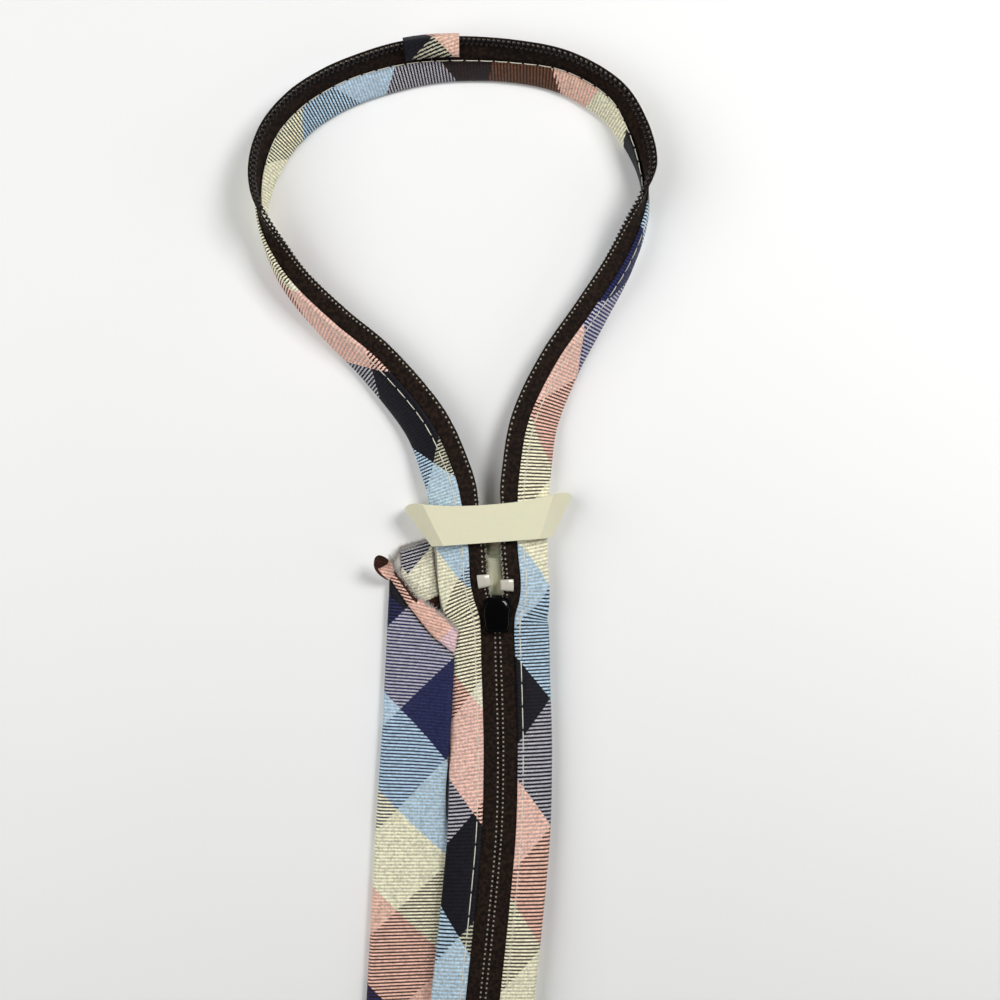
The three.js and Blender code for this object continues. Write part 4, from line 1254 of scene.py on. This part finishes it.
    def across(self, kind: Layer, f: float, side: int, half: np.ndarray, radius: float,
               full: bool = False) -> tuple:
        """Place of one column of the folded cloth.

        Args:
            kind: Part of the section.
            f: Share of the way along that part.
            side: 1 for the right side and -1 for the left.
            half: Half width of the blade at each row.
            radius: Radius of the fold.
            full: Whether height, normal and developed distance are wanted too.

        Returns:
            Distance across, and with full also height, normal across, normal up and developed distance.
        """
        mid_low = self.thickness / 2 - radius
        room = np.maximum(half - 0.3 - radius, 0.02)
        one = np.ones_like(half)
        if kind is Layer.TOP:
            x = side * (0.35 + (room - 0.35).clip(0) * f)
            found = (x, self.thickness - mid_low * one, 0 * one, one, x)
        elif kind is Layer.BOTTOM:
            x = room * f
            found = (x, mid_low * one, 0 * one, -one, np.sign(f) * (2 * room + math.pi * radius) - x)
        else:
            angle = math.pi * (0.5 - f)
            x = side * (room + radius * math.cos(angle))
            z = self.thickness / 2 + radius * math.sin(angle)
            run = side * (room + math.pi * radius * f)
            found = (x, z * one, side * math.cos(angle) * one, math.sin(angle) * one, run)
        return found if full else (found[0],)

    def closed_sheet(self, name: str, upper: np.ndarray, lower: np.ndarray, maps: dict) -> bpy.types.Object:
        """Close two grids of points into one thin sheet.

        Args:
            name: The piece's name.
            upper: Points of the upper face, by row and column.
            lower: Points of the lower face, in the same order.
            maps: UV maps for the upper face, which the lower one repeats.

        Returns:
            The sheet.
        """
        rows, count = upper.shape[:2]
        offset = rows * count
        faces = sweep_faces(rows, count, closed=False, capped=False)
        faces += [tuple(offset + v for v in reversed(face)) for face in faces]
        rim = [r * count for r in range(rows)] + [(rows - 1) * count + c for c in range(1, count)]
        rim += [r * count + count - 1 for r in range(rows - 2, -1, -1)] + list(range(count - 2, 0, -1))
        faces += [(a, b, b + offset, a + offset) for a, b in zip(rim, rim[1:] + rim[:1])]
        points = np.concatenate([upper.reshape(-1, 3), lower.reshape(-1, 3)])
        return face_out(make_piece(name, points, faces, {k: np.tile(v, (2, 1)) for k, v in maps.items()}))

    def under_flap(self) -> bpy.types.Object:
        """Build the layer that shows in the opening above the slanted end."""
        grid = []
        for v in np.linspace(0, 1, 110):
            row = []
            for f in np.linspace(0, 1, 61):
                x = -27.4 + 15.9 * f
                top = 12 - self.end_line(self.raw_end, np.array([x - self.top[0]]))[0]
                y = top + (-33.0 - top) * v
                # Beside the band the layer dips into a crease; its darkness is painted shade, set in the
                # check map below.
                crease = np.interp(y, [-16, 6], [-14.9, -17.6])
                dip = 1.25 * math.exp(-((x - crease) / 0.5) ** 2) + (0.5 if x > crease else 0.0)
                row.append([x, y, 2.8 + 0.25 * math.sin(0.32 * x + 0.21 * y) * (1 - v) - dip])
            grid.append(row)
        upper = np.array(grid)
        x, y = upper[..., 0].ravel(), upper[..., 1].ravel()
        crease = np.interp(y, [-16, 6], [-14.9, -17.6])
        warp = 1 + (x + 22.9 - 0.85 * (y - 0.3)) / 30
        # Past the crease the cloth is painted dark brown as shade.
        warp = np.where(x > crease - 0.4, 2.5, np.minimum(warp, 1.9))
        # A lilac sliver runs along the seam allowance, with a patch of dark brown painted shade at its end.
        above = (y + 3.3) - np.interp(x, [-27, -22.9, -18.8, -13.7], [0, -5.5, -8.4, -12.2])
        weft = np.where(above < 2.6, 1.5, 0.5)
        warp = np.where((above < 2.6) & (x < -19.5), 1.5, warp)
        painted_shade_mask = (above < 5.2 - 1.1 * (crease - x)) & (x > -22)
        warp, weft = np.where(painted_shade_mask, 2.5, warp), np.where(painted_shade_mask, 2.5, weft)
        maps = {"check": np.stack([warp, weft], 1), "twill": np.stack([(y - 0.3 * x) / 1.0, x / 0.9], 1)}
        return self.closed_sheet("blade_under_flap", upper, upper - [0, 0, 0.4], maps)

    def felt_edge(self) -> bpy.types.Object:
        """Build the fuzzy end of the interlining that shows past the raw cloth."""
        grid = []
        for v in np.linspace(0, 1, 20):
            row = []
            for f in np.linspace(0, 1, 40):
                x = -31.2 + 14.6 * f
                ragged = 0.18 * math.sin(9 * x) * math.sin(4.1 * x)
                top = 12.45 - self.end_line(self.raw_end, np.array([x - self.top[0]]))[0] + ragged
                y = top + (-20.0 - top) * v
                row.append([x, y, 2.1 + 0.25 * math.sin(1.3 * x) * math.cos(1.1 * y)])
            grid.append(row)
        upper = np.array(grid)
        maps = {"check": np.zeros((upper.shape[0] * upper.shape[1], 2))}
        return self.closed_sheet("interlining_edge", upper, upper - [0, 0, 0.25], maps)

    def trim_maps(self, points: np.ndarray) -> dict:
        """Check and twill coordinates of the seam allowance and the curl.

        Args:
            points: The points in the row frame.

        Returns:
            The two UV maps.
        """
        slant = (points[:, 0] - points[:, 1]) / math.sqrt(2)
        line = (points[:, 1] + 0.25 * points[:, 0]) / 0.95
        return {"check": np.stack([1 + (slant + 9.55) / 15, 0 * slant + 0.5], 1),
                "twill": np.stack([line, points[:, 0] / 0.9], 1)}

    def strip(self) -> bpy.types.Object:
        """Build the seam allowance that stands along the slanted end."""
        def along(line: tuple, runs: np.ndarray) -> np.ndarray:
            """Points spread along a line.

            Args:
                line: The line's corners.
                runs: Shares of the way along it.

            Returns:
                One point for each share.
            """
            rows = np.array(line)
            knots = np.concatenate([[0], np.cumsum(np.linalg.norm(np.diff(rows, axis=0), axis=1))])
            return np.stack([np.interp(runs * knots[-1], knots, rows[:, k]) for k in range(3)], 1)

        runs = np.linspace(0, 1, 60)
        foot, raw = along(self.foot, runs), along(self.raw, runs)
        for line in (foot, raw):
            for _ in range(6):
                line[1:-1] = (line[:-2] + 2 * line[1:-1] + line[2:]) / 4
        across = np.linspace(0, 1, 12)[None, :, None]
        upper = foot[:, None] * (1 - across) + raw[:, None] * across
        upper[..., 2] += 0.45 * np.sin(math.pi * across[..., 0])
        fray = 0.22 * np.sin(2.3 * np.arange(60)) * np.sin(1.1 * np.arange(60))
        out = (raw - foot)[:, :2]
        upper[:, -1, :2] += out / np.linalg.norm(out, axis=1)[:, None] * fray[:, None]
        maps = self.trim_maps(upper.reshape(-1, 3))
        # Dark stripes at the upper end, pink in the middle and lilac at the lower end.
        run, wide = np.repeat(runs, 12), np.tile(across.ravel(), 60)
        dark, edge = run < 0.34 + 0.06 * wide, (wide > 0.62) & (run < 0.42)
        lower_end = np.where(run > 0.8 + 0.12 * wide, 2.5, 1.5)
        maps["check"][:, 0] = np.where(edge, 0.5, np.where(dark, 1.5, lower_end))
        maps["check"][:, 1] = np.where(dark | edge, 1.5, 0.5)
        return self.closed_sheet("seam_allowance", upper, upper - [0, 0, 0.5], maps)

    def curl(self) -> bpy.types.Object:
        """Build the corner of cloth that has curled up like a petal."""
        base, tip = np.array([-30.4, -3.9, 3.9]), np.array([-34.2, 3.0, 6.6])
        axis = (tip - base)[:2] / np.linalg.norm((tip - base)[:2])
        side = np.array([axis[1], -axis[0]])
        grid, dark = [], []
        for a in np.linspace(0, 1, 28):
            half = 0.35 + 2.2 * math.sin(math.pi * (0.06 + 0.8 * a)) ** 0.8 * (1 - a ** 6) ** 0.5
            middle = base + (tip - base) * a
            row = []
            for b in np.linspace(-1, 1, 17):
                x, y = middle[:2] + side * half * b
                lip = max(0.0, a - 0.5) / 0.5
                cup = 1.5 * b * b * math.sin(math.pi * (0.1 + 0.7 * a))
                roll = 1.2 * math.sin(math.pi * 0.8 * lip)
                row.append([x, y, middle[2] + cup + roll])
                dark.append(a > 0.52 + 0.12 * b * b or b < -0.72)
            grid.append(row)
        upper = np.array(grid)
        maps = self.trim_maps(upper.reshape(-1, 3))
        maps["check"][:, 0] = np.where(dark, 0.5, 1.5)
        maps["check"][:, 1] = np.where(dark, 1.5, 0.5)
        return self.closed_sheet("curled_corner", upper, upper - [0, 0, 0.45], maps)

    def fuzz(self) -> bpy.types.Object:
        """Build the loose fibres along the raw edges."""
        rng = random.Random(7)
        points, faces = [], []

        def fibre(base: np.ndarray, way: np.ndarray, size: float, thick: float) -> None:
            """Add one bent fibre that thins to its tip.

            Args:
                base: Where it leaves the cloth.
                way: Its direction there.
                size: Its length.
                thick: Its radius there.
            """
            first = len(points)
            side = np.cross(way, [0, 0, 1.0])
            side /= max(np.linalg.norm(side), 1e-6)
            bend = np.array([rng.uniform(-1, 1), rng.uniform(-1, 1), rng.uniform(-0.3, 0.8)]) * size * 0.45
            for k in range(5):
                f = k / 4
                spot = base + way * size * f + bend * f * f
                r = thick * (1 - 0.75 * f)
                points.extend([spot + side * r, spot - side * r * 0.5 + [0, 0, r],
                               spot - side * r * 0.5 - [0, 0, r]])
            for k in range(4):
                for c in range(3):
                    d = (c + 1) % 3
                    a = first + k * 3
                    faces.append((a + c, a + d, a + 3 + d, a + 3 + c))

        raw = np.array(self.raw)
        for _ in range(900):
            k = rng.randrange(len(raw) - 1)
            run = rng.random()
            spot = raw[k] * (1 - run) + raw[k + 1] * run
            out = np.array([0.62, 0.78, 0.0]) + [rng.uniform(-0.8, 0.8), rng.uniform(-0.8, 0.8),
                                                 rng.uniform(-0.3, 0.5)]
            fibre(spot + [rng.uniform(-0.7, 0), rng.uniform(-0.7, 0), rng.uniform(-0.4, 0.25)],
                  out / np.linalg.norm(out),
                  rng.uniform(0.5, 1.5), rng.uniform(0.04, 0.075))
        for _ in range(900):
            x = rng.uniform(-31.3, -17.6)
            down = float(self.end_line(self.raw_end, np.array([x - self.top[0]]))[0])
            out = np.array([rng.uniform(-0.9, 0.5), rng.uniform(0.1, 1.0), rng.uniform(-0.2, 0.5)])
            fibre(np.array([x, 12.2 - down - rng.uniform(0.0, 1.6), rng.uniform(2.1, 2.9)]),
                  out / np.linalg.norm(out),
                  rng.uniform(0.5, 1.5), rng.uniform(0.04, 0.075))
        for _ in range(500):
            run = rng.random()
            spot = np.array([-31.0 + 4.5 * run, 1.0 - 9.5 * run + rng.uniform(0, 2.5), 2.4])
            out = np.array([rng.uniform(-1, 1), rng.uniform(-1, 1), rng.uniform(0.2, 0.8)])
            fibre(spot, out / np.linalg.norm(out), rng.uniform(0.4, 1.2), rng.uniform(0.04, 0.07))
        return make_piece("frayed_fibres", np.array(points), faces)

    def build(self, cloth: bpy.types.Material, flap: bpy.types.Material, trim: bpy.types.Material,
              felt: bpy.types.Material) -> list[bpy.types.Object]:
        """Build and dress the blade.

        Args:
            cloth: Material of the blade's cloth.
            flap: Material of the layer in the opening.
            trim: Material of the seam allowance and curl.
            felt: Material of the core and of the fibres.

        Returns:
            The pieces.
        """
        envelope = finish_piece(self.envelope(), cloth, "check_cloth", "blade")
        felt_edge = finish_piece(self.felt_edge(), felt, "core_felt")
        under = finish_piece(self.under_flap(), flap, "check_cloth")
        strip = finish_piece(self.strip(), trim, "check_cloth", "seam_strip")
        curl = finish_piece(self.curl(), trim, "check_cloth", "corner_curl")
        fibres = finish_piece(self.fuzz(), felt, "core_felt")
        core = bpy.data.objects["blade_core"]
        core.data.materials.clear()
        core.data.materials.append(felt)
        return [envelope, under, felt_edge, strip, curl, fibres]


@dataclass
class Studio:
    """Camera, soft light and the pale table."""

    frame_width: float = 300.0
    camera_height: float = 500.0
    aim: tuple[float, float] = (2.1, 19.5)

    def build(self) -> None:
        """Set the camera, lights, world and floor."""
        scene = bpy.context.scene
        lens = bpy.data.cameras.new("camera")
        lens.sensor_width = 36.0
        lens.lens = 36.0 * self.camera_height / self.frame_width
        lens.clip_end = 10.0
        camera = bpy.data.objects.new("camera", lens)
        camera.location = Vector((*self.aim, self.camera_height)) * MM
        scene.collection.objects.link(camera)
        scene.camera = camera
        for name, energy, size, spot in (("key", 3.2, 0.28, (0.36, 0.3, 0.56)),
                                         ("fill", 4.0, 0.7, (-0.5, 0.1, 0.5)),
                                         ("side", 0.7, 0.4, (0.52, -0.02, 0.22))):
            light = bpy.data.lights.new(name, "AREA")
            light.energy = energy
            light.size = size
            lamp = bpy.data.objects.new(name, light)
            lamp.location = spot
            lamp.visible_glossy = name == "key"
            aim = Vector((0.0, 0.02, 0.0)) - Vector(spot)
            lamp.rotation_euler = aim.to_track_quat("-Z", "Y").to_euler()
            scene.collection.objects.link(lamp)
        world = bpy.data.worlds.new("studio")
        world.use_nodes = True
        # A dark ceiling keeps gloss black and metal crisp, and pale walls fill the shadows.
        tree = world.node_tree
        way = add_node(tree, "SeparateXYZ", links={0: add_node(tree, "TexCoord").outputs["Generated"]})
        level = add_node(tree, "MapRange",
                         {"From Min": 0.1, "From Max": 0.95, "To Min": 1.15, "To Max": 0.24},
                         {0: way.outputs[2]})
        tree.links.new(level.outputs[0], tree.nodes["Background"].inputs[1])
        scene.world = world
        scene.view_settings.view_transform = "Standard"
        corners = np.array([[-1500, -1500, -0.02], [1500, -1500, -0.02], [1500, 1500, -0.02],
                            [-1500, 1500, -0.02]], float)
        floor = make_piece("table_top", corners, [(0, 1, 2, 3)], smooth=False)
        # White laminate, matt pressed: pale and even.
        laminate = Surface("white_laminate", "#f6f6f5", 0.6, grain=30.0, spread=0.01).build()
        floor.data.materials.append(laminate)


def main() -> None:
    """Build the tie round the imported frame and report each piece."""
    logging.basicConfig(level=logging.INFO, format="%(message)s")
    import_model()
    Studio().build()
    warp_order = (Yarn.SKY, Yarn.INK, Yarn.ROSE, Yarn.CREAM)
    weft_order = (Yarn.INK, Yarn.LILAC, Yarn.BARK, Yarn.CREAM)
    warp = tuple(warp_order[(i - 1) % 4] for i in range(24))
    weft = tuple(weft_order[(i - 2) % 4] for i in range(24))
    warp = warp[:11] + (Yarn.UMBER,) + warp[11:13] + (Yarn.INK,) + warp[13:14] + (Yarn.INDIGO,) + warp[15:]
    band_cloth = CheckTwill("check_twill_band", warp, weft).build()
    blade_weft = (Yarn.CREAM, Yarn.BARK, Yarn.INK, Yarn.LILAC, Yarn.NAVY, Yarn.CREAM)
    blade_weft += (Yarn.BARK, Yarn.ROSE, Yarn.NAVY, Yarn.CREAM) * 5
    blade_warp = (Yarn.ROSE, Yarn.INK, Yarn.NAVY, Yarn.SKY, Yarn.CREAM, Yarn.ROSE)
    blade_warp += (Yarn.NAVY, Yarn.SKY, Yarn.CREAM, Yarn.ROSE) * 5
    blade_cloth = CheckTwill("check_twill_blade", blade_warp, blade_weft).build()
    # The flap's dark brown third yarn, on both sets, is painted shade in its crease and opening.
    flap_cloth = CheckTwill("check_twill_flap", (Yarn.INK, Yarn.CREAM, Yarn.BARK),
                            (Yarn.LILAC, Yarn.LILAC, Yarn.BARK)).build()
    trim_cloth = CheckTwill("check_twill_trim", (Yarn.BARK, Yarn.ROSE, Yarn.BLUSH),
                            (Yarn.ROSE, Yarn.BARK)).build()
    keeper_cloth = CheckTwill("check_twill_keeper",
                              (Yarn.INK, Yarn.INK, Yarn.INK, Yarn.ROSE, Yarn.ROSE, Yarn.CREAM),
                              (Yarn.INK, Yarn.INK, Yarn.INK, Yarn.CREAM, Yarn.ROSE)).build()
    tape = WovenTape().build()
    coil = NylonCoil().build()
    # Nickel-plated aluminium clip, stamped and tumbled: bright with soft reflections.
    stop = Surface("nickel_plate", "#f1ebdb", 0.28, metallic=0.4, relief=0.00001).build()
    # Black enamel baked over die-cast zinc: a hard clear gloss.
    enamel = Surface("baked_enamel", "#070708", 0.14, coat=0.35, gloss=0.22, relief=0.00001).build()
    # Polypropylene, injection moulded in a polished tool: milky, with soft highlights.
    plastic = Surface("moulded_polypropylene", "#e6e3c6", 0.3, coat=0.25, subsurface=0.2, grain=35.0,
                      relief=0.00006, spread=0.03).build()
    # Mercerised cotton thread, twisted: nearly matt.
    thread = Surface("cotton_thread", Yarn.THREAD.value, 0.7, grain=2500.0).build()
    # Brushed wool and polyester interlining: dull, with loose fibres.
    felt = Surface("brushed_interlining", "#cfcac4", 0.95, grain=900.0, relief=0.0003, spread=0.25).build()
    path = BandPath()
    pieces = Blade().build(blade_cloth, flap_cloth, trim_cloth, felt)
    pieces += NeckBand(path).build(band_cloth, thread)
    pieces += Zipper(path).build(tape, coil, stop, enamel)
    pieces.append(NapeKeeper(path).build(keeper_cloth))
    pieces += KnotFormer().build(plastic)
    for piece in pieces:
        LOG.info("%s: %d faces", piece.name, len(piece.data.polygons))


if __name__ == "__main__":
    main()
